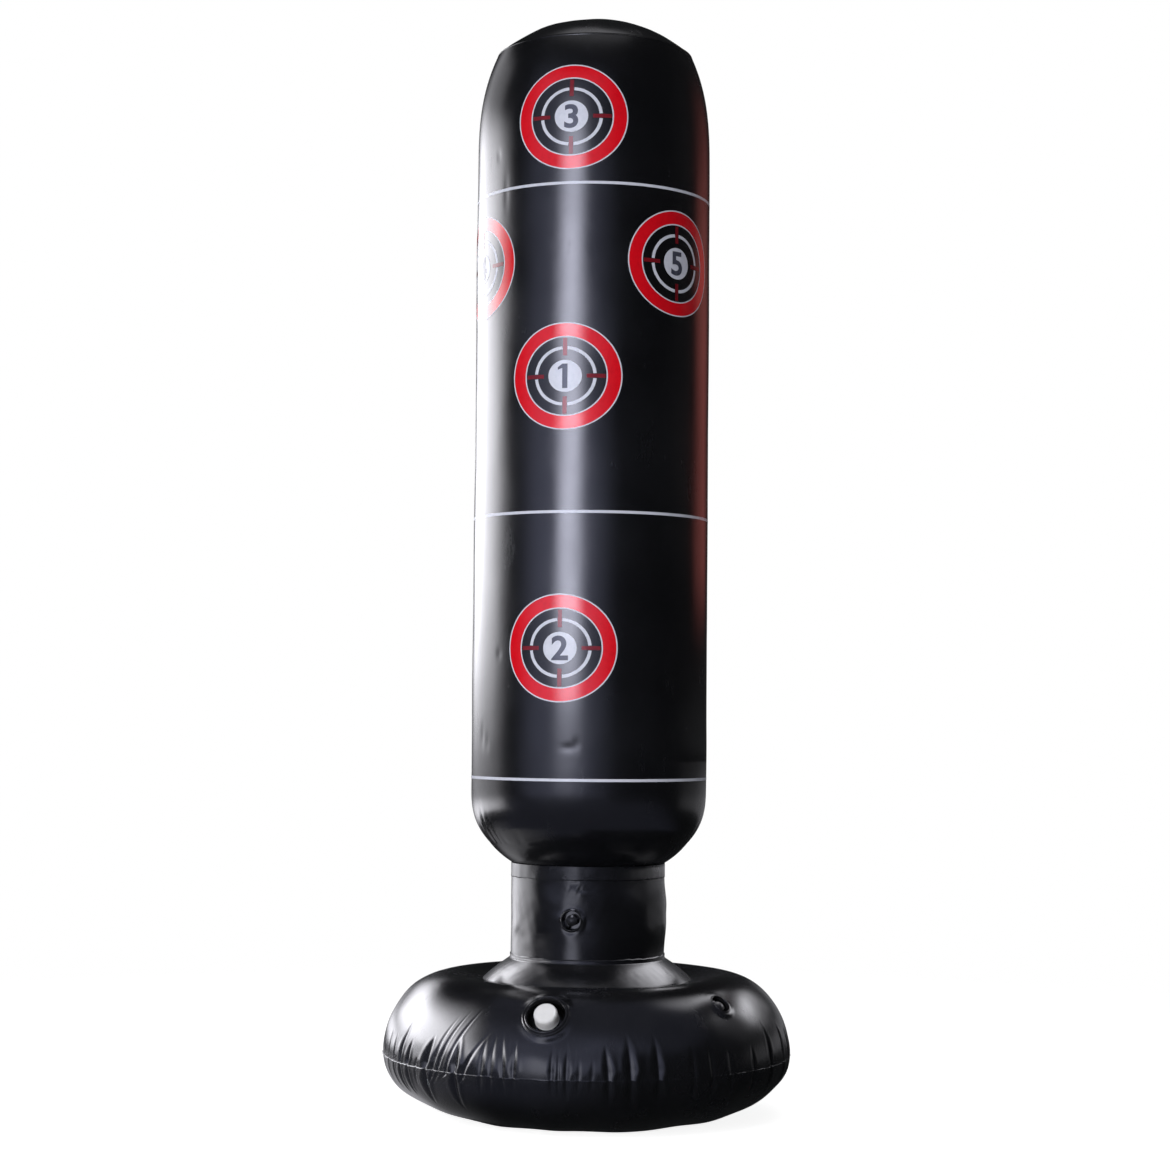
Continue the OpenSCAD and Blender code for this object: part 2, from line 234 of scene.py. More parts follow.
def ranged(tree, value, low, high, to_low, to_high):
    """Value moved smoothly from one range to another."""
    return result_of(tree, "ShaderNodeMapRange", {
        "Value": value, "From Min": low, "From Max": high, "To Min": to_low, "To Max": to_high},
        interpolation_type="SMOOTHSTEP")


def two_tone(tree, value, low, first, high, second):
    """Colour that goes from one tone to another as a value grows."""
    ramp = add_node(tree, "ShaderNodeValToRGB", {"Fac": value})
    for stop, place, tone in zip(ramp.color_ramp.elements, (low, high), (first, second)):
        stop.position, stop.color = place, (*tone, 1)
    return ramp.outputs["Color"]


def bumped(tree, strength, depth, height, **under):
    """Fine relief from a height, over another relief if one is given as Normal."""
    return result_of(tree, "ShaderNodeBump", {
        "Strength": strength, "Distance": depth, "Height": height, **under})


def pvc_film(name, gloss, wrinkle):
    """Black plasticised PVC film: glossy, with duller handled patches, soft wrinkles and fine grain."""
    material, tree, shader = new_material(name, gloss)
    patches = noise_on(tree, 6.0, 4.0, 0.6)
    handled = ranged(tree, patches, 0.35, 0.7, gloss - 0.03, gloss + 0.05)
    scuffs = ranged(tree, noise_on(tree, 26.0, 5.0, 0.7, (1.0, 1.0, 0.35)), 0.58, 0.74, 0.0, 0.09)
    soft = bumped(tree, wrinkle, 1.2 * mm, noise_on(tree, 38.0, 3.0, 0.55))
    feed(shader, {
        "Roughness": calc(tree, "ADD", handled, scuffs),
        "Base Color": two_tone(tree, patches, 0.35, (0.0034, 0.0036, 0.0046), 0.7, (0.0052, 0.0055, 0.0068)),
        "Normal": bumped(tree, 0.05, 0.15 * mm, noise_on(tree, 900.0, 1.0), Normal=soft)})
    return material


base_film = pvc_film("base_black_pvc_film", 0.23, 0.10)
base_bearings = even_bearings(1080)


def fold_rows(centre_r, half_w, half_h, distances, inset=0.0):
    """Folded rings of the base's side, by distance from the seam, set in from the film if asked."""
    r, z, out, length = side_rows(centre_r, half_w, half_h, distances)
    pressed = fold_offset(base_bearings[None, :], r[:, None], distances[:, None], half_h > 0)
    level = rings_of(r[:, None], z[:, None], base_bearings)
    rolling = swell(level, 90 * mm, 3) * 0.9 * mm * smooth_step(distances, 0, 60 * mm)[:, None]
    rolling *= smooth_step(length - distances, 0, 60 * mm)[:, None]
    moved = rolling - pressed - inset
    return rings_of(r[:, None] + moved * out[:, :1], z[:, None] + moved * out[:, 1:], base_bearings)


# The fin is trimmed close at the front right, and wider at the back left
seam_level = rings_of(seam_r, seam_z, base_bearings)
seam_pressed = fold_offset(base_bearings, seam_r, np.zeros(1), True)
fin_away = 0.5 - 0.5 * np.cos(np.radians(base_bearings - fin_thin_bearing))
fin_trimmed = fin_least + (1 - fin_least) * fin_away**fin_power
fin_reach = fin_w * fin_trimmed * np.clip(0.75 + 0.45 * swell(seam_level, 15 * mm, 6), 0.3, 1.4)
fin_droop = 0.5 * fin_reach - swell(seam_level, 22 * mm, 5) * 0.35 * mm - 0.35 * seam_pressed


def fin_rows(shares, heights):
    """Rings of the weld fin, which is trimmed unevenly, droops, and ripples with the folds."""
    shares, heights = np.array(shares)[:, None], np.array(heights)[:, None]
    return rings_of(seam_r - seam_pressed + shares * fin_reach, seam_z + heights - shares * fin_droop,
                    base_bearings)


def hand_over(piece, material=None, body=None, replaced=None):
    """Gives a finished piece its material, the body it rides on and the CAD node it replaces."""
    if material:
        piece.data.materials.append(material)
    if body:
        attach(piece, body)
    if replaced:
        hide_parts(replaced)


def seam_steps(form, fine_end, coarse_count):
    """Distances of a side's rings from the seam: close together at first, and then wider apart."""
    length = side_rows(*form, np.zeros(1))[3]
    coarse = np.linspace(fine_end + 2, length / mm, coarse_count)
    return np.concatenate([np.arange(0.8, fine_end, 2.0), coarse]) * mm


lower_steps = seam_steps(lower_form, 70, 30)
lower_side = fold_rows(*lower_form, lower_steps)[::-1]
foot_radii = mm_rows(20, 60, 100, 125)
lower_fin = fin_rows([0.3, 1.0, 1.0], [-fin_t, -fin_t, 0.0])
lower_rings = np.concatenate([rings_of(foot_radii, 0.0, base_bearings), lower_side, lower_fin])
base_lower = ring_mesh("base_lower_film", lower_rings, start_pole=(0, 0, 0))
hand_over(base_lower, base_film, "base", "base_lower_skin")

# Base upper skin
# The upper half of the cushion, cut from the same black PVC film and welded to the lower disc along
# the side seam. It rises to a round crest, dips to a level middle under the neck, and is held flat
# round the moulded filling port and the air valve, which are welded into holes in it.
crest_r, crest_z = 198 * mm, 203 * mm
upper_form = (crest_r, seam_r - crest_r, crest_z - seam_z)
middle_z = 195 * mm
skirt_r = 151 * mm
port_inset, port_hole_r, port_free_r = 30 * mm, 29 * mm, 42 * mm
base_valve_inset, base_valve_bearing = 38 * mm, 58
valve_hole_r, base_valve_free_r = 16.6 * mm, 24 * mm
crumple_aside, crumple_above, crumple_r = -46 * mm, 8 * mm, 15 * mm


def place_on_base(inset, bearing):
    """Frame of a fitting on the base's upper side, with its Z axis pointing out of the skin."""
    centre_r, half_w, half_h = upper_form
    turn = math.asin((seam_r - inset - centre_r) / half_w)
    tilt = math.atan2(math.sin(turn) / half_w, math.cos(turn) / half_h)
    return (Matrix.Rotation(math.radians(bearing), 4, "Z")
            @ Matrix.Translation((0, inset - seam_r, seam_z + half_h * math.cos(turn)))
            @ Matrix.Rotation(tilt, 4, "X"))


def settled(points, place, flat_r, free_r):
    """Draws a skin's points flat onto a fitting's flange, fading out to where the skin hangs free."""
    inverse = np.array(place.inverted())
    local = points @ inverse[:3, :3].T + inverse[:3, 3]
    off_axis = np.hypot(local[..., 0], local[..., 1])
    held = (1 - smooth_step(off_axis, flat_r, free_r)) * (np.abs(local[..., 2]) < free_r)
    drop = held * (-0.2 * mm - local[..., 2])
    return points + drop[..., None] * np.array(place.col[2].xyz)


def open_hole(skin, place, radius):
    """Cuts a round hole in a skin for a fitting, and draws the hole's edge to a true circle."""
    inverse = place.inverted()
    shell = bmesh.new()
    shell.from_mesh(skin.data)

    def off_axis(point):
        local = inverse @ point
        return math.hypot(local.x, local.y) if abs(local.z) < radius else math.inf

    covered = [face for face in shell.faces if off_axis(face.calc_center_median()) < radius]
    edge = {vertex for face in covered for vertex in face.verts}
    bmesh.ops.delete(shell, geom=covered, context="FACES")
    for vertex in edge:
        if vertex.is_valid:
            local = inverse @ vertex.co
            local.xy *= radius / local.xy.length
            vertex.co = place @ local
    shell.to_mesh(skin.data)
    shell.free()


port_place = place_on_base(port_inset, 0)
base_valve_place = place_on_base(base_valve_inset, base_valve_bearing)
dip_r = np.linspace(crest_r, skirt_r, 9)[1:, None]
dip_z = middle_z + (crest_z - middle_z) * smooth_step(dip_r, skirt_r, crest_r)
upper_rings = np.concatenate([
    fin_rows([1.0, 1.0, 0.3], [0.0, fin_t, fin_t]),
    fold_rows(*upper_form, seam_steps(upper_form, 110, 14)),
    rings_of(dip_r, dip_z, base_bearings), rings_of(mm_rows(140, 90, 40), middle_z, base_bearings)])
crumple_place = np.array(port_place @ Vector((crumple_aside, crumple_above, 0)))
crumpled = np.exp(-((np.linalg.norm(upper_rings - crumple_place, axis=-1) / crumple_r) ** 2))
upper_rings[..., 2] += crumpled * swell(upper_rings, 9 * mm, 7) * 0.22 * mm
upper_rings = settled(upper_rings, port_place, port_hole_r, port_free_r)
upper_rings = settled(upper_rings, base_valve_place, valve_hole_r, base_valve_free_r)
base_upper = ring_mesh("base_upper_film", upper_rings, end_pole=(0, 0, middle_z))
base_film_surface = BVHTree.FromObject(base_upper, bpy.context.evaluated_depsgraph_get())
open_hole(base_upper, port_place, port_hole_r)
open_hole(base_upper, base_valve_place, valve_hole_r)
hand_over(base_upper, base_film, "base", "base_upper_skin")

# Seam pinches
# Where a fold crosses the side seam, the hot weld nips the doubled film into a small hard bead on
# the fin. The beads follow the seam, so Geometry Nodes set one on each fold.
pinch_aside, pinch_out = 0.35, 0.9 * mm
moulded_black, moulded_flow = (0.0060, 0.0062, 0.0070), (0.010, 0.010, 0.0115)


def moulded_pvc(name, gloss):
    """Injection-moulded soft PVC: blacker and glossier than film, with a faint flow pattern."""
    material, tree, shader = new_material(name, gloss)
    flow = noise_on(tree, 90.0, 3.0, 0.6)
    feed(shader, {
        "Roughness": ranged(tree, flow, 0.3, 0.7, gloss - 0.04, gloss + 0.07),
        "Base Color": two_tone(tree, flow, 0.3, moulded_black, 0.75, moulded_flow),
        "Normal": bumped(tree, 0.12, 0.2 * mm, noise_on(tree, 420.0, 2.0))})
    return material


def new_tree(name, sockets):
    """Empty Geometry Nodes tree, and its inputs: those given by kind, and a material."""
    tree = bpy.data.node_groups.new(name, "GeometryNodeTree")
    tree.interface.new_socket("Geometry", in_out="OUTPUT", socket_type="NodeSocketGeometry")
    for kind, names in {**sockets, "Material": ["Material"]}.items():
        for socket in names:
            tree.interface.new_socket(socket, in_out="INPUT", socket_type="NodeSocket" + kind)
    return tree, tree.nodes.new("NodeGroupInput").outputs


def end_tree(tree, given, shape):
    """Ends a tree: real faces instead of instances, shaded smooth, in the given material."""
    shape = result_of(tree, "GeometryNodeRealizeInstances", {"Geometry": shape})
    shape = result_of(tree, "GeometryNodeSetShadeSmooth", {"Geometry": shape})
    shape = result_of(tree, "GeometryNodeSetMaterial", {"Geometry": shape, "Material": given["Material"]})
    add_node(tree, "NodeGroupOutput", {"Geometry": shape})


def joined(tree, x=0.0, y=0.0, z=0.0):
    """Vector from sockets or constants."""
    return result_of(tree, "ShaderNodeCombineXYZ", {"X": x, "Y": y, "Z": z})


def run_tree(piece, tree, values):
    """Runs a tree on an object's own mesh, and keeps the result as a plain mesh."""
    modifier = piece.modifiers.new(tree.name, "NODES")
    modifier.node_group = tree
    for item in tree.interface.items_tree:
        if item.in_out == "INPUT" and item.name in values:
            modifier[item.identifier] = values[item.name]
    result = bpy.data.meshes.new_from_object(piece.evaluated_get(bpy.context.evaluated_depsgraph_get()))
    piece.modifiers.clear()
    piece.data = result
    result.name = piece.name
    return piece


def grown(name, tree, values, points=()):
    """Runs a tree on a mesh of loose points, and gives the result as a plain mesh object."""
    return run_tree(mesh_piece(name, [tuple(point) for point in points], []), tree, values)


pinch_tree, given = new_tree("seam_pinches", {
    "Geometry": ["Geometry"], "Float": ["Bead radius", "Flatness"], "Int": ["Seed"]})
bead = result_of(pinch_tree, "GeometryNodeMeshIcoSphere", {"Radius": given["Bead radius"], "Subdivisions": 2})
spread = result_of(pinch_tree, "FunctionNodeRandomValue", {
    "Min": (0.5, 0.5, 0.4), "Max": (1.4, 1.1, 1.0), "Seed": given["Seed"]}, data_type="FLOAT_VECTOR")
tipped = result_of(pinch_tree, "FunctionNodeRandomValue", {
    "Min": (-0.5, -0.5, -math.pi), "Max": (0.5, 0.5, math.pi),
    "Seed": calc(pinch_tree, "ADD", given["Seed"], 7)}, data_type="FLOAT_VECTOR")
squashed = result_of(pinch_tree, "ShaderNodeVectorMath", {
    0: spread, 1: joined(pinch_tree, 1.0, 1.0, given["Flatness"])}, operation="MULTIPLY")
end_tree(pinch_tree, given, result_of(pinch_tree, "GeometryNodeInstanceOnPoints", {
    "Points": given["Geometry"], "Instance": bead, "Rotation": tipped, "Scale": squashed}))
fold_bearings = np.array([fold[0] for fold in folds]) + pinch_aside
pinch_in = np.interp(fold_bearings % 360, base_bearings, seam_pressed, period=360)
seam_pinches = grown("base_seam_pinches", pinch_tree, {
    "Bead radius": 1.2 * mm, "Flatness": 0.75, "Seed": 4, "Material": moulded_pvc("welded_black_pvc", 0.16)},
    rings_of(seam_r + pinch_out - pinch_in, seam_z, fold_bearings))
hand_over(seam_pinches, body="base")

# Water ballast
# The water that weights the base lies inside the closed film. It isn't seen, but it is part of the
# object, so it is made as the water is: pressed into the film's folds, with a level top.
water_h, water_gap = 77 * mm, 1.2 * mm
water_steps = lower_steps[side_rows(*lower_form, lower_steps)[1] < water_h - 3 * mm]
water_side = fold_rows(*lower_form, water_steps, water_gap)[::-1]
water_edge = np.hypot(water_side[-1, :, 0], water_side[-1, :, 1])[None, :]
water_rings = np.concatenate([
    rings_of(foot_radii, water_gap, base_bearings), water_side,
    rings_of(water_edge - mm_rows(1, 8), water_h - mm_rows(1, 0), base_bearings)])
ballast_water = ring_mesh("ballast_water", water_rings[:, ::3], (0, 0, water_gap), (0, 0, water_h))
water, water_tree, water_shader = new_material("clear_water", 0.04)
feed(water_shader, {
    "IOR": 1.333, "Transmission Weight": 0.9, "Base Color": two_tone(
        water_tree, noise_on(water_tree, 5.0), 0.3, (0.62, 0.76, 0.84), 0.7, (0.70, 0.82, 0.88))})
hand_over(ballast_water, water, "base", "water_ballast")

# Filling port
# A soft moulded pocket is welded into the base's skin by its flange, which has two raised rings. A
# hard spout with a coarse thread stands on the pocket's floor, and the white cap screws onto it.
# Outlines give radius, height and rounding in millimetres.
port_outline = [
    (24.6, -14, 0), (28, -14, 0), (28, -0.2, 0.3), (31, -0.2, 0), (33.6, -0.2, 0.1), (33.6, 0.3, 0.2),
    (32.9, 0.5, 0.3), (32.2, 1.5, 0.5), (30.9, 1.5, 0.5), (30.2, 0.6, 0.4), (29.8, 0.7, 0.4),
    (29.1, 2.2, 0.8), (27.6, 2.9, 0.9), (26.2, 2.0, 0.9), (25.6, -2.5, 1.5)]
spout_outline = [
    (10, -16, 0.3), (28, -16, 0.3), (28, -14, 0), (13.5, -14, 0.8), (13.5, 2.5, 0.5), (10, 2.5, 0.5)]
port_flange_from = 28.2 * mm
thread_pitch, thread_turns, thread_low = 5 * mm, 2.2, -10 * mm
thread_r, thread_bead = 13.5 * mm, 0.42 * mm


def eased(outline):
    """Outline whose corners are rounded off by each point's own distance, with support points."""
    points = []
    corners = [np.array(corner[:2], float) for corner in outline]
    for index, (corner, (_, _, ease)) in enumerate(zip(corners, outline)):
        if ease == 0:
            points.append(corner)
            continue
        before, after = corners[index - 1] - corner, corners[(index + 1) % len(corners)] - corner
        before, after = (side / np.linalg.norm(side) for side in (before, after))
        points.append(corner + before * ease * 1.2)
        for share in np.linspace(0, 1, 6):
            points.append(corner + before * ease * (1 - share) ** 2 + after * ease * share**2)
        points.append(corner + after * ease * 1.2)
    return np.array(points)


def laid_on(piece, place, surface, from_r):
    """Bends a fitting's soft flange down onto the film, beyond the given radius."""
    inverse, axis = place.inverted(), place.col[2].xyz
    for vertex in piece.data.vertices:
        local = inverse @ vertex.co
        hit = surface.ray_cast(place @ Vector((local.x, local.y, 30 * mm)), -axis)[0]
        if local.xy.length > from_r and local.z > -1 * mm and hit:
            vertex.co += axis * (inverse @ hit).z


def turned(name, outline, place, around=128, open_ends=False):
    """Turned piece: an outline spun round the place's Z axis. Open ends are closed at the axis."""
    profile = eased(outline) * mm
    rings = rings_of(profile[:, :1], profile[:, 1:], even_bearings(around))
    if open_ends:
        piece = ring_mesh(name, rings[1:-1], rings[0, 0], rings[-1, 0])
    else:
        piece = ring_mesh(name, rings, loop=True)
    piece.data.transform(place)
    return piece


port_pvc = moulded_pvc("moulded_port_pvc", 0.13)
port_pocket = turned("fill_port_pocket_moulding", port_outline, port_place, 160)
spout = turned("fill_spout_moulding", spout_outline, port_place, 96)
laid_on(port_pocket, port_place, base_film_surface, port_flange_from)
hand_over(port_pocket, port_pvc, "base", "fill_port_pocket")
hand_over(spout, port_pvc, "base", "fill_spout")

thread_tree, given = new_tree("spout_thread", {"Float": ["Radius", "Turns", "Height", "Bead"]})
helix = result_of(thread_tree, "GeometryNodeCurveSpiral", {
    "Resolution": 64, "Rotations": given["Turns"], "Start Radius": given["Radius"],
    "End Radius": given["Radius"], "Height": given["Height"]})
section = result_of(thread_tree, "GeometryNodeCurvePrimitiveCircle", {
    "Resolution": 10, "Radius": given["Bead"]})
end_tree(thread_tree, given, result_of(thread_tree, "GeometryNodeCurveToMesh", {
    "Curve": helix, "Profile Curve": section, "Fill Caps": True}))
spout_thread = grown("fill_spout_thread", thread_tree, {
    "Radius": thread_r, "Turns": thread_turns, "Height": thread_turns * thread_pitch,
    "Bead": thread_bead, "Material": port_pvc})
spout_thread.data.transform(port_place @ Matrix.Translation((0, 0, thread_low)))
hand_over(spout_thread, body="base")

# Filler cap
# A white moulded screw cap with a rounded edge and fine grip ribs, which Geometry Nodes repeat round
# its side. A flat rubber ring inside it seals on the spout's end.
cap_r, cap_crown, cap_low = 16.75, 7.2, -10.8
cap_outline = [
    (0, 4.7, 0), (14, 4.7, 0.6), (14, cap_low, 0.4), (cap_r, cap_low, 0.5), (cap_r, -8.8, 0.5),
    (16.3, -8.2, 0.2), (16.2, 4.2, 1.0), (15.6, 6.3, 0.9), (14.1, cap_crown, 0.9), (4, 7.05, 1.0),
    (1.6, 7.05, 0.3), (1.2, 6.85, 0.2), (0, 6.85, 0)]
rib_count, rib_r, rib_low, rib_high, rib_width = 72, 16.15 * mm, -7.6 * mm, 3.2 * mm, 0.28 * mm
cap_white, cap_tree, cap_shader = new_material("white_cap_plastic", 0.36)
cloud = noise_on(cap_tree, 120.0, 3.0)
feed(cap_shader, {
    "Subsurface Weight": 0.12, "Subsurface Radius": (0.0020, 0.0018, 0.0016),
    "Base Color": two_tone(cap_tree, cloud, 0.3, (0.72, 0.72, 0.75), 0.75, (0.77, 0.77, 0.79)),
    "Roughness": ranged(cap_tree, cloud, 0.3, 0.7, 0.32, 0.44),
    "Normal": bumped(cap_tree, 0.10, 0.1 * mm, noise_on(cap_tree, 1500.0))})
fill_cap = turned("fill_cap_moulding", cap_outline, port_place, 160, open_ends=True)
hand_over(fill_cap, cap_white, "cap", "fill_cap")

rib_tree, given = new_tree("cap_grip_ribs", {"Int": ["Count"], "Float": ["Radius", "Width", "Low", "High"]})
rib_ring = result_of(rib_tree, "GeometryNodeCurvePrimitiveCircle", {
    "Resolution": given["Count"], "Radius": given["Radius"]})
upright = result_of(rib_tree, "GeometryNodeCurvePrimitiveLine", {
    "Start": joined(rib_tree, z=given["Low"]), "End": joined(rib_tree, z=given["High"])})
rod = result_of(rib_tree, "GeometryNodeCurvePrimitiveCircle", {"Resolution": 8, "Radius": given["Width"]})
rib = result_of(rib_tree, "GeometryNodeCurveToMesh", {
    "Curve": upright, "Profile Curve": rod, "Fill Caps": True})
end_tree(rib_tree, given, result_of(rib_tree, "GeometryNodeInstanceOnPoints", {
    "Points": rib_ring, "Instance": rib}))
cap_ribs = grown("fill_cap_ribs", rib_tree, {
    "Count": rib_count, "Radius": rib_r, "Width": rib_width, "Low": rib_low, "High": rib_high,
    "Material": cap_white})
cap_ribs.data.transform(port_place)
hand_over(cap_ribs, body="cap")

# The ring and both valves' check flaps are plain flat rubber, so their CAD solids are shown as they are
seal_rubber, seal_tree, seal_shader = new_material("seal_rubber", 0.6, 0.3)
mottle = noise_on(seal_tree, 300.0, 3.0)
feed(seal_shader, {
    "Base Color": two_tone(seal_tree, mottle, 0.3, (0.030, 0.030, 0.031), 0.7, (0.050, 0.050, 0.051)),
    "Roughness": ranged(seal_tree, mottle, 0.3, 0.7, 0.52, 0.68)})
for cad_name in ("fill_cap_gasket", "base_valve_flap", "neck_valve_flap"):
    cad_nodes[cad_name].data.materials.clear()
    cad_nodes[cad_name].data.materials.append(seal_rubber)

# Base air valve
# A soft moulded valve: a flange over the skin with a raised rim, a sunken pocket, and a stem that a
# push-in stopper closes. A flat strap moulded to the stem keeps the stopper from getting lost.
# Its lengths are in millimetres.
valve_outline = [
    (4, -15, 0.3), (16, -15, 0.4), (16, -0.3, 0), (18.6, -0.3, 0), (18.6, -0.02, 0.05), (16.6, 0.15, 0.3),
    (15.5, 0.45, 0.4), (14.9, 1.25, 0.4), (14.1, 1.35, 0.4), (13.5, 0.6, 0.4), (13.4, -2.0, 1.0),
    (13.4, -13, 0.8), (7, -13, 0.6), (7, -3.5, 0.4), (4, -3.5, 0.4)]
plug_outline = [
    (0, -10.4, 0), (3.4, -10.4, 0.6), (3.9, -9.4, 0.4), (3.9, -3.4, 0.2), (8, -3.4, 0.4), (8, -2.3, 0.4),
    (7.3, -2.0, 0.4), (6.2, -1.35, 0.5), (5.0, -0.75, 0.5), (3.0, 0.0, 0.8), (1.5, 0.25, 0.6), (0, 0.3, 0)]
valve_flange_from = 16.2
strap_width, strap_thickness, strap_bend_r = 4.0, 0.8, 4.3
strap_foot, strap_loop_x, strap_low, strap_high = 7.3, 8.3, -12.3, -1.5


def strap_path():
    """Middle line of the strap in the valve's own x and z, from the stem up to the stopper's side."""
    bend = np.radians(np.linspace(0, 90, 13))
    lower = np.stack([strap_loop_x + strap_bend_r * np.sin(bend),
                      strap_low + strap_bend_r * (1 - np.cos(bend))], -1)
    upper = np.stack([strap_loop_x + strap_bend_r * np.cos(bend),
                      strap_high - strap_bend_r * (1 - np.sin(bend))], -1)
    return np.concatenate([[[strap_foot, strap_low]], lower, upper])


def valve_strap(name, place):
    """Flat strap with rounded edges, swept along its middle line."""
    path = strap_path()
    ahead = np.gradient(path, axis=0)
    ahead /= np.linalg.norm(ahead, axis=1, keepdims=True)
    aside = np.stack([ahead[:, 1], -ahead[:, 0]], -1)
    turn = np.arange(16) * np.pi / 8
    wide = np.sign(np.cos(turn)) * np.abs(np.cos(turn)) ** 0.35 * strap_width / 2
    thick = np.sin(turn) * strap_thickness / 2
    flat = path[:, None, :] + aside[:, None, :] * thick[None, :, None]
    rings = np.stack([flat[..., 0], np.broadcast_to(wide, flat.shape[:2]), flat[..., 1]], -1) * mm
    piece = ring_mesh(name, rings, rings[0].mean(0), rings[-1].mean(0))
    outwards = bmesh.new()
    outwards.from_mesh(piece.data)
    bmesh.ops.recalc_face_normals(outwards, faces=outwards.faces)
    outwards.to_mesh(piece.data)
    outwards.free()
    piece.data.transform(place)
    return piece


valve_pvc = moulded_pvc("moulded_valve_pvc", 0.12)
stopper_pvc = moulded_pvc("moulded_stopper_pvc", 0.30)


def dress_valve(side, place, surface, strap_turn, body, plug_body):
    """Gives one air valve its moulded body, stopper and strap."""
    moulding = turned(f"{side}_valve_moulding", valve_outline, place, 96)
    laid_on(moulding, place, surface, valve_flange_from * mm)
    stopper = turned(f"{side}_valve_stopper", plug_outline, place, 72, open_ends=True)
    strap = valve_strap(f"{side}_valve_keeper", place @ Matrix.Rotation(math.radians(strap_turn), 4, "Z"))
    hand_over(moulding, valve_pvc, body, f"{side}_valve_body")
    hand_over(stopper, stopper_pvc, plug_body, f"{side}_valve_plug")
    hand_over(strap, valve_pvc, None, f"{side}_valve_strap")
    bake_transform(strap)


dress_valve("base", base_valve_place, base_film_surface, 135, "base", "base_plug")

# Neck skirt
# A cone of PVC film between the neck and the base. Its lower edge lies on the base's level middle,
# and its upper edge is turned up and welded round the neck, which leaves a thin uneven lip.
neck_r = 111.5 * mm
skirt_weld_z, skirt_lip_r = 226 * mm, neck_r + 0.6 * mm
skirt_foot_z = middle_z + 0.6 * mm
slope_out, slope_up = 0.62, 0.78
skirt_bearings = even_bearings(540)
skirt_film = pvc_film("skirt_black_pvc_film", 0.26, 0.22)
slope = np.linspace(0, 1, 22)[:, None]
skirt_free = 4 * slope * (1 - slope)
skirt_bulge = 1.5 * mm * skirt_free
slope_r = skirt_r + (skirt_lip_r - skirt_r) * slope + skirt_bulge * slope_out
slope_z = skirt_foot_z + (skirt_weld_z - skirt_foot_z) * slope + skirt_bulge * slope_up
lip_r = skirt_lip_r + mm_rows(0.5, 0.1, 0.3, 0.3, -0.2)
lip_z = skirt_weld_z + mm_rows(0.9, 1.8, 4.0, 6.0, 6.0)
skirt_rings = rings_of(np.concatenate([skirt_r + mm_rows(-2, 0.1), slope_r, lip_r]),
                       np.concatenate([middle_z + mm_rows(0, 0.1), slope_z, lip_z]), skirt_bearings)
crumple = swell(skirt_rings, 15 * mm, 8) * 0.05 * mm + swell(skirt_rings, 60 * mm, 9) * 0.35 * mm
crumple *= np.concatenate([[[0], [0]], skirt_free, np.zeros((5, 1))])
uneven = swell(skirt_rings, 14 * mm, 10) * 0.45 * mm
uneven[:-3] = 0
skirt_rings[..., 2] += crumple * slope_up + uneven
skirt_rings[..., :2] *= (1 + crumple * slope_out / neck_r)[..., None]
neck_skirt = ring_mesh("neck_skirt_film", skirt_rings)
hand_over(neck_skirt, skirt_film, "base", "neck_skirt")

# Neck
# A narrow air-filled tube of the same film, which bends near both ends as the bag is struck. It is
# made in two lengths that meet at mid height.
neck_low_z, neck_split_z, neck_top_z = 195.4 * mm, 310 * mm, 363 * mm
neck_swell, neck_swell_side, neck_swell_bearing = 1.7 * mm, 1.9, 100
neck_swell_low, neck_swell_high = (234 * mm, 280 * mm), (300 * mm, 342 * mm)
neck_valve_z, neck_valve_free_r = 287 * mm, 22 * mm
neck_dent_bearing, neck_dent_z, neck_dent_r = 3, 334 * mm, 11 * mm
neck_valve_place = Matrix.Translation((0, -neck_r, neck_valve_z)) @ Matrix.Rotation(math.pi / 2, 4, "X")
neck_film = pvc_film("neck_black_pvc_film", 0.22, 0.12)
neck_bearings = even_bearings(480)


def neck_rings(heights):
    """Rings of the neck: a tube that swells a little between its welds, with soft dents."""
    heights = heights[:, None]
    free = smooth_step(heights, *neck_swell_low) * (1 - smooth_step(heights, *neck_swell_high))
    one_side = neck_swell_side * np.clip(np.cos(np.radians(neck_bearings - neck_swell_bearing)), 0, 1)
    straight = rings_of(np.full_like(heights, neck_r), heights, neck_bearings)
    off_dent = np.hypot(aside_of(neck_bearings, neck_dent_bearing, neck_r), heights - neck_dent_z)
    dents = (swell(straight, 60 * mm, 12) * 0.5 * mm + swell(straight, 20 * mm, 13) * 0.10 * mm) * free
    dents += swell(straight, 10 * mm, 14) * 0.35 * mm * np.exp(-((off_dent / neck_dent_r) ** 2))
    return rings_of(neck_r - 0.1 * mm + free * one_side * neck_swell + dents, heights, neck_bearings)


def neck_length(name, low, high, rows):
    """One length of the neck, held flat round its valve."""
    rings = neck_rings(np.linspace(low, high, rows))
    return ring_mesh(name, settled(rings, neck_valve_place, valve_hole_r, neck_valve_free_r))


def bend_with(piece):
    """Bakes a piece's placement into its mesh."""
    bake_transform(piece)


neck_lower = neck_length("neck_lower_film", neck_low_z, neck_split_z, 58)
neck_film_surface = BVHTree.FromObject(neck_lower, bpy.context.evaluated_depsgraph_get())
open_hole(neck_lower, neck_valve_place, valve_hole_r)
neck_upper = neck_length("neck_upper_film", neck_split_z, neck_top_z - 0.4 * mm, 28)
hand_over(neck_lower, neck_film, None, "neck_tube")
hand_over(neck_upper, neck_film)
bend_with(neck_lower)
bend_with(neck_upper)

# Neck air valve
# The same moulded valve as on the base, in the same black PVC. It is welded into the front of the
# neck, and pushed in.
dress_valve("neck", neck_valve_place, neck_film_surface, -120, "neck", "neck_plug")

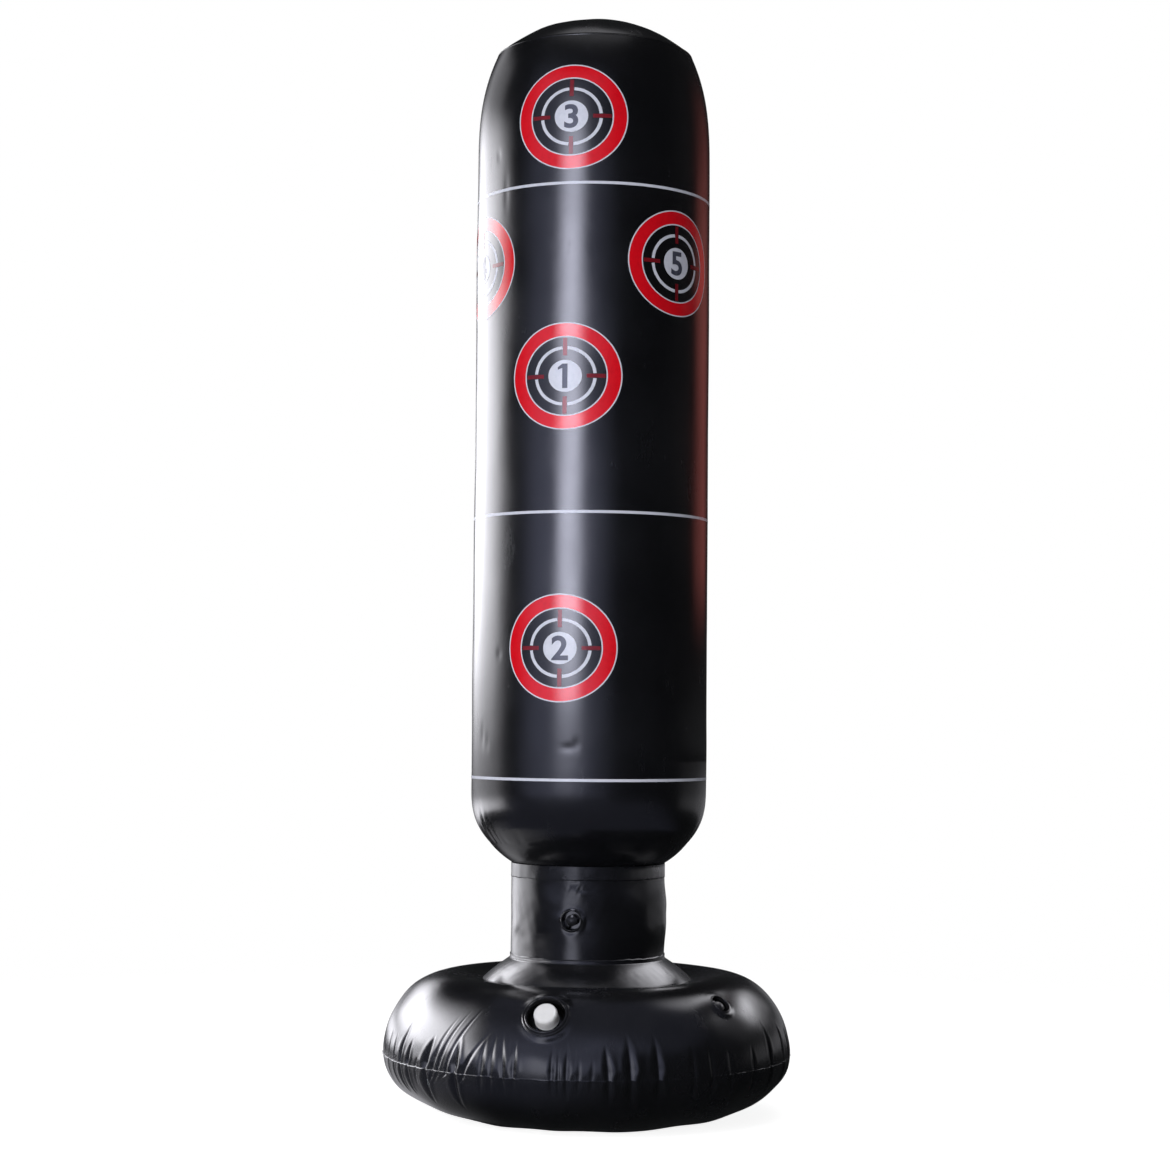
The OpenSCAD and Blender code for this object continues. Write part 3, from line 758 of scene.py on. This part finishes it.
# Neck weld band and column bottom panel
# A sloping ring of film closes the column's bottom. Its inner edge is turned down round the neck and
# welded with a ribbed tool, which leaves a crinkled band with an uneven lower edge.
band_low_z = 343 * mm
end_seam_r, bottom_seam_z = 144 * mm, 392 * mm
panel_out, panel_down = 0.66, 0.75
band_bearings = even_bearings(900)
band_z = np.concatenate([[band_low_z], np.linspace(band_low_z, neck_top_z - 0.5 * mm, 14)])[:, None]
band_level = rings_of(neck_r, band_z, band_bearings)
band_r = neck_r + 0.45 * mm + swell(band_level, 16 * mm, 17) * 0.10 * mm
band_r[0] = neck_r - 0.1 * mm
band_uneven = np.zeros_like(band_r)
band_uneven[:2] = swell(band_level[:2], 15 * mm, 18) * 0.6 * mm
neck_band = ring_mesh("neck_weld_band", rings_of(band_r, band_z + band_uneven, band_bearings))
hand_over(neck_band, skirt_film, None, "neck_top_band")
bend_with(neck_band)

panel_share = np.linspace(0, 1, 20)[:, None]
panel_swell = 2.0 * mm * 4 * panel_share * (1 - panel_share)
panel_inner_r = neck_r - 0.6 * mm
panel_r = panel_inner_r + (end_seam_r - panel_inner_r) * panel_share + panel_swell * panel_out
panel_z = neck_top_z + (bottom_seam_z - neck_top_z) * panel_share - panel_swell * panel_down
bottom_panel = ring_mesh("column_bottom_film", rings_of(panel_r, panel_z, neck_bearings))
sleeve_film = pvc_film("printed_sleeve_pvc_film", 0.22, 0.07)
hand_over(bottom_panel, sleeve_film, "column", "column_bottom_panel")

# Column sleeve
# The striking surface: a sheet of black PVC film rolled into a tube and lap-welded at the back. Air
# holds it straight, and it draws in smoothly to the weld ring at each end. Its shape follows that
# rule, so Geometry Nodes make it.
column_r = 171 * mm
top_seam_z = 1546 * mm
bottom_draw, top_draw, draw_power = 78 * mm, 160 * mm, 2.7

sleeve_tree, given = new_tree("drawn_in_sleeve", {
    "Float": ["Radius", "End radius", "Bottom", "Top", "Bottom draw", "Top draw", "Draw power", "Dent depth",
              "Dent size"], "Int": ["Around", "Up"]})


def position_of(tree):
    """Each point's own x, y and z."""
    place = result_of(tree, "GeometryNodeInputPosition")
    return add_node(tree, "ShaderNodeSeparateXYZ", {0: place}).outputs


def sleeve_calc(operation, *values):
    """Result of a math node in the sleeve's tree."""
    return calc(sleeve_tree, operation, *values)


def round_tube(radius, height):
    """Places on the tube, at a radius and a height."""
    return joined(sleeve_tree, sleeve_calc("MULTIPLY", tube_place["X"], radius),
                  sleeve_calc("MULTIPLY", tube_place["Y"], radius), height)


tube = result_of(sleeve_tree, "GeometryNodeMeshCylinder", {
    "Vertices": given["Around"], "Side Segments": given["Up"], "Radius": 1.0, "Depth": 1.0}, fill_type="NONE")
tube_place = position_of(sleeve_tree)
tube_length = sleeve_calc("SUBTRACT", given["Top"], given["Bottom"])
tube_z = sleeve_calc("MULTIPLY_ADD", sleeve_calc("ADD", tube_place["Z"], 0.5), tube_length, given["Bottom"])
above_start = sleeve_calc("ADD", sleeve_calc("SUBTRACT", tube_z, given["Top"]), given["Top draw"])
below_start = sleeve_calc("SUBTRACT", sleeve_calc("ADD", given["Bottom"], given["Bottom draw"]), tube_z)
drawn = sleeve_calc("MAXIMUM", 0.0, sleeve_calc(
    "MAXIMUM", sleeve_calc("DIVIDE", above_start, given["Top draw"]),
    sleeve_calc("DIVIDE", below_start, given["Bottom draw"])))
drawn_in = sleeve_calc("MULTIPLY", sleeve_calc("SUBTRACT", given["Radius"], given["End radius"]),
                       sleeve_calc("POWER", drawn, given["Draw power"]))
dents = result_of(sleeve_tree, "ShaderNodeTexNoise", {
    "Vector": round_tube(given["Radius"], sleeve_calc("MULTIPLY", tube_z, 0.6)),
    "Scale": sleeve_calc("DIVIDE", 1.0, given["Dent size"]), "Detail": 1.5, "Roughness": 0.45})
dent_depth = sleeve_calc("MULTIPLY", given["Dent depth"], sleeve_calc("SUBTRACT", 1.0, drawn))
dented = sleeve_calc("MULTIPLY", sleeve_calc("SUBTRACT", dents, 0.5), dent_depth)
tube_r = sleeve_calc("ADD", sleeve_calc("SUBTRACT", given["Radius"], drawn_in), dented)
end_tree(sleeve_tree, given, result_of(sleeve_tree, "GeometryNodeSetPosition", {
    "Geometry": tube, "Position": round_tube(tube_r, tube_z)}))
sleeve = grown("column_sleeve_film", sleeve_tree, {
    "Radius": column_r, "End radius": end_seam_r, "Bottom": bottom_seam_z, "Top": top_seam_z,
    "Bottom draw": bottom_draw, "Top draw": top_draw, "Draw power": draw_power, "Dent depth": 2.8 * mm,
    "Dent size": 120 * mm, "Around": 288, "Up": 320, "Material": sleeve_film})

# Handling creases in the sleeve: bearing, height, width, height reach and depth in millimetres
sleeve_creases = [
    (-51, 545, 5, 16, 0.9), (-46, 536, 4, 12, 0.7), (2, 531, 9, 5, 0.45), (6, 536, 4, 8, 0.5),
    (-37, 662, 4, 7, 0.6), (-41, 1378, 3, 8, 0.6), (-35, 1322, 4, 26, 0.5), (1, 700, 3, 18, 0.35)]
# Gathers at the bottom weld: bearing, width, reach and depth in millimetres
sleeve_gathers = [
    (-62, 5, 26, 1.6), (-54, 4, 34, 2.0), (-48, 4, 30, 1.6), (-41, 5, 22, 1.2), (-28, 6, 20, 1.0),
    (14, 6, 18, 0.8), (47, 6, 22, 1.0), (88, 5, 26, 1.4), (131, 6, 24, 1.2), (176, 5, 28, 1.4),
    (214, 6, 22, 1.2), (247, 5, 26, 1.4)]


def dent(bearing, radius, level, width, reach, depth):
    """Soft dent in the sleeve, round a bearing and a height."""
    aside, off_level = aside_of(sleeve_bearing, bearing, radius), sleeve_points[:, 2] - level
    return depth * mm * np.exp(-((aside / (width * mm)) ** 2) - (off_level / (reach * mm)) ** 2)


sleeve_points = np.array([vertex.co for vertex in sleeve.data.vertices])
sleeve_bearing = np.degrees(np.arctan2(sleeve_points[:, 0], -sleeve_points[:, 1]))
sleeve_pressed = np.zeros(len(sleeve_points))
for bearing, level, *size in sleeve_creases:
    sleeve_pressed += dent(bearing, column_r, level * mm, *size)
weld_free = smooth_step(sleeve_points[:, 2] - bottom_seam_z, 0, 5 * mm)
for bearing, *size in sleeve_gathers:
    sleeve_pressed += dent(bearing, end_seam_r, bottom_seam_z, *size) * weld_free
sleeve_points[:, :2] *= (1 - sleeve_pressed / column_r)[:, None]
sleeve.data.vertices.foreach_set("co", sleeve_points.astype(np.float32).ravel())
hand_over(sleeve, None, "column", "column_sleeve")

# Lap weld of the sleeve
# At the back the sheet's edge lies over itself in a strip of the same film, welded flat, with a raised
# outer edge. The strip follows the finished sleeve's own back line.
lap_half, lap_lift = 6 * mm, 0.5 * mm
lap_across = np.array([-1.0, -1.0, -0.9, -0.3, 0.3, 0.9, 1.0, 1.0]) * lap_half
lap_up = np.array([-0.3, 0.7, 1.0, 0.9, 0.9, 1.0, 0.7, -0.3]) * lap_lift
lap_z = np.linspace(bottom_seam_z + 1 * mm, top_seam_z - 1 * mm, 300)
lap_drawn = np.maximum(0, np.maximum((lap_z - top_seam_z + top_draw) / top_draw,
                                     (bottom_seam_z + bottom_draw - lap_z) / bottom_draw))
lap_r = column_r - (column_r - end_seam_r) * lap_drawn**draw_power
lap_wave = swell(np.stack([0 * lap_z, 0 * lap_z, lap_z], -1), 60 * mm, 30) * 0.4 * mm
lap_bearing = 180 + np.degrees((lap_across[None, :] + lap_wave[:, None]) / lap_r[:, None])
at_back = sleeve_points[np.abs(np.abs(sleeve_bearing) - 180) < 1.2]
back_line = np.interp(lap_z, *np.array(sorted((z, math.hypot(x, y)) for x, y, z in at_back)).T)
lap_points = rings_of(back_line[:, None] + lap_up[None, :], lap_z[:, None], lap_bearing)


def flat_grid(columns, rows):
    """Faces of a grid of points that are listed row by row."""
    step = columns + 1
    return [(j * step + i, j * step + i + 1, (j + 1) * step + i + 1, (j + 1) * step + i)
            for j in range(rows) for i in range(columns)]


lap_weld = mesh_piece("column_lap_weld", lap_points.reshape(-1, 3).tolist(),
                      flat_grid(len(lap_across) - 1, len(lap_z) - 1))
hand_over(lap_weld, sleeve_film, "column")

# Column top panel
# A disc of the same film, welded into the sleeve's top and blown up to a dome by the air. The weld is
# a fine uneven bead.
crown_z = 1600 * mm
crown_h = crown_z - top_seam_z
dome_r = (end_seam_r**2 + crown_h**2) / (2 * crown_h)
dome_turn = np.linspace(math.asin(end_seam_r / dome_r), 0, 34)[:-1, None]
bead_r = end_seam_r + mm_rows(-0.2, 0.45, 0.5, 0.2)
bead_z = top_seam_z + mm_rows(-1.4, -0.8, 0.0, 0.6)
dome_rings = rings_of(np.concatenate([bead_r, dome_r * np.sin(dome_turn)]),
                      np.concatenate([bead_z, crown_z - dome_r + dome_r * np.cos(dome_turn)]), neck_bearings)
dome_swell = swell(dome_rings, 70 * mm, 22) * 0.7 * mm + swell(dome_rings, 24 * mm, 23) * 0.12 * mm
dome_swell *= smooth_step(np.linalg.norm(dome_rings[..., :2], axis=-1), end_seam_r, end_seam_r - 30 * mm)
dome_rings[..., 2] += dome_swell - 0.3 * mm
top_panel = ring_mesh("column_top_film", dome_rings, end_pole=dome_rings[-1].mean(0))
hand_over(top_panel, sleeve_film, "column", "column_top_panel")

# Printed targets and lines
# Screen-printed ink on the flat sheet before it was rolled: three white lines all round, and five
# targets with a red ring, a white ring cut by four ticks, and a numbered white disc. Each ink is laid
# out flat, and one tree wraps it onto the sleeve.
line_heights, line_width = (486 * mm, 861 * mm, 1326 * mm), 4 * mm
target_r, target_stretch, ring_gap = 76 * mm, 1.075, 0.088
targets = {
    "1": (-1.0, 1052 * mm), "2": (-2.3, 670 * mm), "3": (0.9, 1421 * mm), "4": (-56, 1220 * mm),
    "5": (56, 1220 * mm)}
red_outer, red_inner, red_edge = 0.978 * target_r, 0.745 * target_r, 0.722 * target_r
ring_outer, ring_inner = 0.553 * target_r, 0.495 * target_r
tick_start, tick_length, tick_width = 0.38 * target_r, 0.325 * target_r, 0.072 * target_r
disc_r, numeral_height = 0.297 * target_r, 0.455 * target_r
face_size, strip_size = 2.6 * mm, 2.0 * mm


def flat_piece(store, points, faces, centre=(0, 0), stretch=1.0):
    """Adds a shape to the flat sheet, at its centre and stretched level."""
    start = len(store[0])
    store[0].extend([(centre[0] + x * stretch, centre[1] + y, 0.0) for x, y in points])
    store[1].extend([tuple(start + index for index in face) for face in faces])


def flat_ring(store, centre, inner, outer, first=0.0, last=2 * math.pi):
    """Part of a target's ring, or a disc if inner is 0, in small faces."""
    across = max(1, round((outer - inner) / face_size))
    along = max(6, round((last - first) * outer / face_size))
    points = [(r * math.cos(t), r * math.sin(t)) for r in np.linspace(outer, inner, across + 1)
              for t in np.linspace(first, last, along + 1)]
    flat_piece(store, points, flat_grid(along, across), centre, target_stretch)


def flat_bar(store, corner, size, turn=0.0, centre=(0, 0), stretch=1.0):
    """Rectangle in small faces, turned about its centre."""
    nx, ny = (max(1, round(side / face_size)) for side in size)
    cos, sin = math.cos(turn), math.sin(turn)
    flat = [(corner[0] + size[0] * i / nx, corner[1] + size[1] * j / ny)
            for j in range(ny + 1) for i in range(nx + 1)]
    points = [(x * cos - y * sin, x * sin + y * cos) for x, y in flat]
    flat_piece(store, points, flat_grid(nx, ny), centre, stretch)


def flat_numeral(store, numeral, centre, tall):
    """Numeral in the built-in typeface, made bolder, centred, and cut into narrow upright strips."""
    curve = bpy.data.curves.new("numeral", "FONT")
    curve.body, curve.size, curve.offset, curve.resolution_u = numeral, 1.0, 0.026, 8
    writer = bpy.data.objects.new("numeral", curve)
    shape = bmesh.new()
    shape.from_mesh(bpy.data.meshes.new_from_object(writer))
    bpy.data.objects.remove(writer)
    low = Vector(min(vertex.co[axis] for vertex in shape.verts) for axis in range(2))
    high = Vector(max(vertex.co[axis] for vertex in shape.verts) for axis in range(2))
    scale, middle = tall / (high.y - low.y), (low + high) / 2
    for cut in np.arange(low.x + strip_size / scale, high.x, strip_size / scale):
        bmesh.ops.bisect_plane(shape, geom=shape.verts[:] + shape.edges[:] + shape.faces[:],
                               plane_co=(cut, 0, 0), plane_no=(1, 0, 0))
    shape.verts.index_update()
    points = [((vertex.co.x - middle.x) * scale, (vertex.co.y - middle.y) * scale) for vertex in shape.verts]
    faces = [[vertex.index for vertex in face.verts] for face in shape.faces]
    flat_piece(store, points, faces, centre, target_stretch)
    shape.free()
    if numeral == "1":
        # The typeface's 1 is a plain bar, so it gets a slanting flag
        bar_side = (low.x - middle.x) * scale
        flag_end = bar_side - 0.175 * tall
        edges = ((flag_end, 0.355, 0.255), ((flag_end + bar_side) / 2, 0.43, 0.29), (bar_side, 0.5, 0.32))
        flag = [(x, (top + (bottom - top) * j / 2) * tall) for j in range(3) for x, top, bottom in edges]
        flat_piece(store, flag, [face[::-1] for face in flat_grid(2, 2)], centre, target_stretch)


white_print, red_print, tick_print, numeral_print = (([], []) for _ in range(4))
for level in line_heights:
    flat_bar(white_print, (-math.pi * column_r, level - line_width / 2), (2 * math.pi * column_r, line_width))
for numeral, (bearing, level) in targets.items():
    centre = (math.radians(bearing) * column_r, level)
    flat_ring(white_print, centre, red_outer, target_r)
    flat_ring(red_print, centre, red_inner, red_outer)
    flat_ring(white_print, centre, red_edge, red_inner)
    for quarter in range(4):
        turn = quarter * math.pi / 2
        flat_ring(white_print, centre, ring_inner, ring_outer, turn + ring_gap, turn + math.pi / 2 - ring_gap)
        flat_bar(tick_print, (tick_start, -tick_width / 2), (tick_length, tick_width), turn, centre,
                 target_stretch)
    flat_ring(white_print, centre, 0, disc_r)
    flat_numeral(numeral_print, numeral, centre, numeral_height)

wrap_tree, given = new_tree("print_on_sleeve", {
    "Geometry": ["Geometry"], "Object": ["Sleeve"], "Float": ["Radius", "Lift", "Merge"]})
flat_place = position_of(wrap_tree)
wrap_turn = calc(wrap_tree, "DIVIDE", flat_place["X"], given["Radius"])
outward = joined(wrap_tree, calc(wrap_tree, "SINE", wrap_turn),
                 calc(wrap_tree, "MULTIPLY", calc(wrap_tree, "COSINE", wrap_turn), -1.0))
sleeve_shape = add_node(wrap_tree, "GeometryNodeObjectInfo", {"Object": given["Sleeve"]})
hit = add_node(wrap_tree, "GeometryNodeRaycast", {
    "Target Geometry": sleeve_shape.outputs["Geometry"], "Ray Direction": outward, "Ray Length": 1.0,
    "Source Position": joined(wrap_tree, z=flat_place["Y"])}).outputs["Hit Position"]
raised = result_of(wrap_tree, "ShaderNodeVectorMath", {0: outward, "Scale": given["Lift"]}, operation="SCALE")
wrapped = result_of(wrap_tree, "GeometryNodeSetPosition", {
    "Geometry": given["Geometry"],
    "Position": result_of(wrap_tree, "ShaderNodeVectorMath", {0: hit, 1: raised}, operation="ADD")})
end_tree(wrap_tree, given, result_of(wrap_tree, "GeometryNodeMergeByDistance", {
    "Geometry": wrapped, "Distance": given["Merge"]}))


def printed_ink(name, tone, worn, roughness, shine):
    """Screen ink: an even colour that thins out a little in small patches, matt or as glossy as the film."""
    material, tree, shader = new_material(name, roughness, shine)
    feed(shader, {
        "Base Color": two_tone(tree, noise_on(tree, 140.0, 4.0, 0.65), 0.45, tone, 0.78, worn),
        "Roughness": ranged(tree, noise_on(tree, 26.0, 3.0), 0.3, 0.7, roughness - 0.04, roughness + 0.06),
        "Normal": bumped(tree, 0.07, 1.2 * mm, noise_on(tree, 38.0, 3.0, 0.55))})
    return material


# Inks: print, lift, tone, worn tone, roughness and shine
inks = {
    "white": (white_print, 0.16 * mm, (0.58, 0.60, 0.70), (0.50, 0.53, 0.63), 0.28, 0.22),
    "red": (red_print, 0.16 * mm, (0.64, 0.003, 0.011), (0.55, 0.002, 0.009), 0.14, 0.45),
    "tick": (tick_print, 0.22 * mm, (0.17, 0.006, 0.012), (0.09, 0.005, 0.009), 0.16, 0.32),
    "numeral": (numeral_print, 0.26 * mm, (0.046, 0.050, 0.078), (0.058, 0.063, 0.092), 0.28, 0.22),
}
for ink, (flat_print, lift, *look) in inks.items():
    print_layer = run_tree(mesh_piece(f"column_{ink}_ink", *flat_print), wrap_tree, {
        "Sleeve": sleeve, "Radius": column_r, "Lift": lift, "Merge": 0.01 * mm,
        "Material": printed_ink(f"{ink}_screen_ink", *look)})
    hand_over(print_layer, body="column")

# Studio
# A pale floor that fades into a white room, soft lamps for the colours, and panels that only the gloss
# reflects: a bright wall and a strip light on the left, a high soft panel and a red card on the right,
# hoods, shades and a dark flag that cut these off where the photo is dark, and dark screens all round.
camera_bearing, camera_distance, camera_height = 12, 3.571, 0.577
camera_pitch, camera_yaw, camera_roll = 3.14, 0.129, 0.5
photo_width, focal_pixels = 1170, 2440
screen_r, screen_low, screen_top = 9.5, 1.5 * mm, 10.0
floor_radii, floor_z = mm_rows(2600, 1800, 1200, 800, 400), -0.5 * mm

stage_scene = bpy.context.scene
stage_scene.view_settings.view_transform = "Standard"


def off_axis_place(bearing, distance, height):
    """Place in the studio. The bearing is from the camera, to its right."""
    turn = math.radians(camera_bearing + bearing)
    return Vector((distance * math.sin(turn), -distance * math.cos(turn), height))


def gloss_only(piece, material):
    """Keeps a studio panel out of everything but reflections."""
    piece.data.materials.append(material)
    piece.visible_camera = piece.visible_diffuse = piece.visible_shadow = False
    piece.visible_transmission = piece.visible_volume_scatter = False


def studio_panel(name, bearings, distances, heights, tone, strength, soft_sides, soft_ends,
                 below_only=False, low_share=1.0):
    """Curved sheet of light round the bag, with soft edges, perhaps seen from below only."""
    columns, rows = 32, 12
    step = columns + 1
    rise = zip(*(np.linspace(*np.broadcast_to(ends, 2), rows + 1) for ends in (distances, heights)))
    points = [off_axis_place(bearing, distance, height) for distance, height in rise
              for bearing in np.linspace(*bearings, step)]
    panel = mesh_piece(name, points, flat_grid(columns, rows))
    sheet = panel.data.uv_layers.new(name="sheet")
    for loop in panel.data.loops:
        sheet.data[loop.index].uv = (loop.vertex_index % step / columns, loop.vertex_index // step / rows)
    material = bpy.data.materials.new(name)
    material.use_nodes = True
    tree = material.node_tree
    tree.nodes.clear()
    across = add_node(tree, "ShaderNodeSeparateXYZ", {
        0: result_of(tree, "ShaderNodeUVMap", uv_map="sheet")}).outputs
    faded = 1.0
    for axis, soft in (("X", soft_sides), ("Y", soft_ends)):
        for edge, width in zip((0.0, 1.0), np.broadcast_to(soft, 2)):
            inside = ranged(tree, across[axis], edge, abs(edge - width), 0.0, 1.0)
            faded = calc(tree, "MULTIPLY", inside, faded)
    if below_only:
        from_above = add_node(tree, "ShaderNodeNewGeometry").outputs["Backfacing"]
        faded = calc(tree, "MULTIPLY", calc(tree, "SUBTRACT", 1.0, from_above), faded)
    level = calc(tree, "MULTIPLY", ranged(tree, across["Y"], 0.06, 0.36, low_share, 1.0), strength)
    glow = result_of(tree, "ShaderNodeEmission", {"Color": (*tone, 1), "Strength": level})
    clear = result_of(tree, "ShaderNodeBsdfTransparent")
    shown = result_of(tree, "ShaderNodeMixShader", {0: faded, 1: clear, 2: glow})
    add_node(tree, "ShaderNodeOutputMaterial", {"Surface": shown})
    gloss_only(panel, material)


white, strip = (0.95, 0.945, 1.0), (0.81, 0.83, 1.0)
cool, red = (0.66, 0.70, 1.0), (1.0, 0.27, 0.24)
# Panels: bearings, distances and heights of the two ends, or one number for both, tone, strength, soft
# share at the sides and at the ends, whether seen from below only, and strength of the low part
panels = {
    "left_wall": ((-158, -80), 1.8, (0.32, 2.1), white, 9.0, (0.24, 0.39), (0.37, 0.30)),
    "left_high": ((-156, -95), 1.85, (1.6, 2.9), white, 1.0, 0.3, (0.2, 0.3)),
    "left_low": ((-165, -80), 1.9, (0.0, 0.4), white, 5.2, (0.4, 0.2), (0.12, 0.45)),
    "left_hood": ((-138, -40), (0.25, 1.6), 0.27, white, 13.5, (0.45, 0.32), (0.15, 0.5), True),
    "left_shade": ((-104, -40), (0.188, 0.6), 0.274, white, 0.02, (0.03, 0.1), (0.03, 0.3), True),
    "left_shade_end": ((-142, -100), (0.285, 0.7), 0.274, white, 0.02, (0.1, 0.05), (0.05, 0.3), True),
    "strip": ((-35.5, -3), 1.0, (0.44, 1.95), strip, 15.5, 0.45, (0.2, 0.4)),
    "low_strip": ((-36, -8), 1.2, (0.02, 0.36), strip, 3.2, 0.4, (0.1, 0.3)),
    "base_hood": ((-85, 80), (0.19, 0.95), 0.372, cool, 0.2, 0.2, (0.01, 0.25)),
    "hood_edge": ((-85, 45), (0.36, 0.98), 0.37, cool, 0.95, (0.25, 0.35), (0.6, 0.3)),
    "front_wall": ((-80, 28), 8.5, (0.2, 9.0), cool, 0.75, (0.3, 0.35), (0.02, 0.3), False, 2.4),
    "right_panel": ((100, 158), 2.4, (0.6, 2.9), white, 5.2, (0.35, 0.5), 0.35),
    "right_flag": ((50, 162), 0.70, (0.50, 2.6), white, 0.02, 0.05, (0.08, 0.03)),
    "right_hood": ((50, 165), (0.18, 0.415), 0.51, white, 0.02, 0.05, 0.01),
    "skirt_card": ((30, 150), (0.12, 0.32), 0.36, white, 5.6, (0.54, 0.375), (0.05, 0.35), True),
    "right_shade": ((5, 96), (0.163, 0.25), 0.24, white, 0.02, (0.05, 0.1), (0.05, 0.4), True),
    "red_curtain": ((101.5, 146), 0.68, (0.67, 1.84), red, 0.66, (0.33, 0.43), (0.18, 0.5)),
    "right_low": ((90, 168), 2.4, (0.01, 0.5), white, 0.35, (0.2, 0.1), (0.01, 0.4)),
    "floor_glow": ((-170, -30), (0.2, 1.1), 0.003, white, 0.7, (0.2, 0.5), (0.01, 0.5)),
    "front_glow": ((-95, 15), (0.25, 2.4), 0.0025, cool, 0.22, 0.3, (0.05, 0.3)),
    "ceiling": ((-180, 180), (0.01, 6.0), 9.5, white, 1.0, 0.001, (0.001, 0.4)),
}
for panel, settings in panels.items():
    studio_panel("studio_" + panel, *settings)

dark_paint, _, dark_shader = new_material("studio_dark_paint", 1.0, 0.0)
feed(dark_shader, {
    "Base Color": (0, 0, 0, 1), "Emission Color": (0.9, 0.95, 1.0, 1), "Emission Strength": 0.02})
screen_rings = rings_of(screen_r, np.array([[screen_low], [screen_top]]), even_bearings(48))
dark_screens = ring_mesh("studio_dark_screens", screen_rings, (0, 0, screen_low), (0, 0, screen_top))
gloss_only(dark_screens, dark_paint)


def seen_share(tree):
    """1 where the camera, a gloss or a clear piece looks, and 0 for the light that falls on the bag."""
    ray = add_node(tree, "ShaderNodeLightPath").outputs
    looks = calc(tree, "ADD", ray["Is Camera Ray"], ray["Is Glossy Ray"])
    return calc(tree, "MINIMUM", calc(tree, "ADD", looks, ray["Is Transmission Ray"]), 1.0)


floor_rings = rings_of(floor_radii, floor_z, even_bearings(96))
floor = ring_mesh("studio_floor", floor_rings, end_pole=(0, 0, floor_z))
floor_paint, floor_tree, floor_shader = new_material("studio_floor_paint", 0.9, 0.0)
feed(floor_shader, {"Base Color": (0.86, 0.86, 0.86, 1)})
floor_glow = result_of(floor_tree, "ShaderNodeEmission", {
    "Strength": calc(floor_tree, "MULTIPLY", seen_share(floor_tree), 0.88)})
floor_lit = result_of(floor_tree, "ShaderNodeAddShader", {0: floor_shader.outputs[0], 1: floor_glow})
floor_reach = add_node(floor_tree, "ShaderNodeVectorMath", {
    0: add_node(floor_tree, "ShaderNodeTexCoord").outputs["Object"]}, operation="LENGTH").outputs["Value"]
floor_mix = result_of(floor_tree, "ShaderNodeMixShader", {
    0: ranged(floor_tree, floor_reach, 0.7, 2.2, 0.0, 1.0), 1: floor_lit,
    2: result_of(floor_tree, "ShaderNodeBsdfTransparent")})
feed(floor_tree.nodes["Material Output"], {"Surface": floor_mix})
floor.data.materials.append(floor_paint)

world = bpy.data.worlds.new("studio_room")
stage_scene.world = world
world.use_nodes = True
room = world.node_tree
room.nodes.clear()
fill, bright = (result_of(room, "ShaderNodeBackground", {"Color": (1, 1, 1, 1), "Strength": strength})
                for strength in (0.15, 1.0))
shown = result_of(room, "ShaderNodeMixShader", {0: seen_share(room), 1: fill, 2: bright})
add_node(room, "ShaderNodeOutputWorld", {"Surface": shown})


def soft_lamp(name, bearing, distance, height, aim_height, size, power):
    """Soft area lamp for the colours. The gloss reflects the panels instead."""
    lamp = bpy.data.lights.new(name, "AREA")
    lamp.shape, lamp.size, lamp.size_y, lamp.energy = "RECTANGLE", *size, power
    holder = bpy.data.objects.new(name, lamp)
    holder.location = off_axis_place(bearing, distance, height)
    holder.rotation_euler = (Vector((0, 0, aim_height)) - holder.location).to_track_quat("-Z", "Y").to_euler()
    holder.visible_glossy = holder.visible_camera = False
    stage_scene.collection.objects.link(holder)


soft_lamp("key_lamp", -25, 2.7, 0.85, 0.85, (1.0, 1.6), 54)
soft_lamp("top_lamp", 20, 0.8, 3.6, 0.0, (2.4, 2.4), 18)

lens = bpy.data.cameras.new("photo_camera")
lens.sensor_width = 36
lens.lens = lens.sensor_width * focal_pixels / photo_width
view_place = Matrix.Translation(off_axis_place(0, camera_distance, camera_height))
for angle, axis in ((camera_bearing + camera_yaw, "Z"), (90 + camera_pitch, "X"), (camera_roll, "Z")):
    view_place = view_place @ Matrix.Rotation(math.radians(angle), 4, axis)
camera = bpy.data.objects.new("photo_camera", lens)
camera.matrix_world = view_place
stage_scene.collection.objects.link(camera)
stage_scene.camera = camera
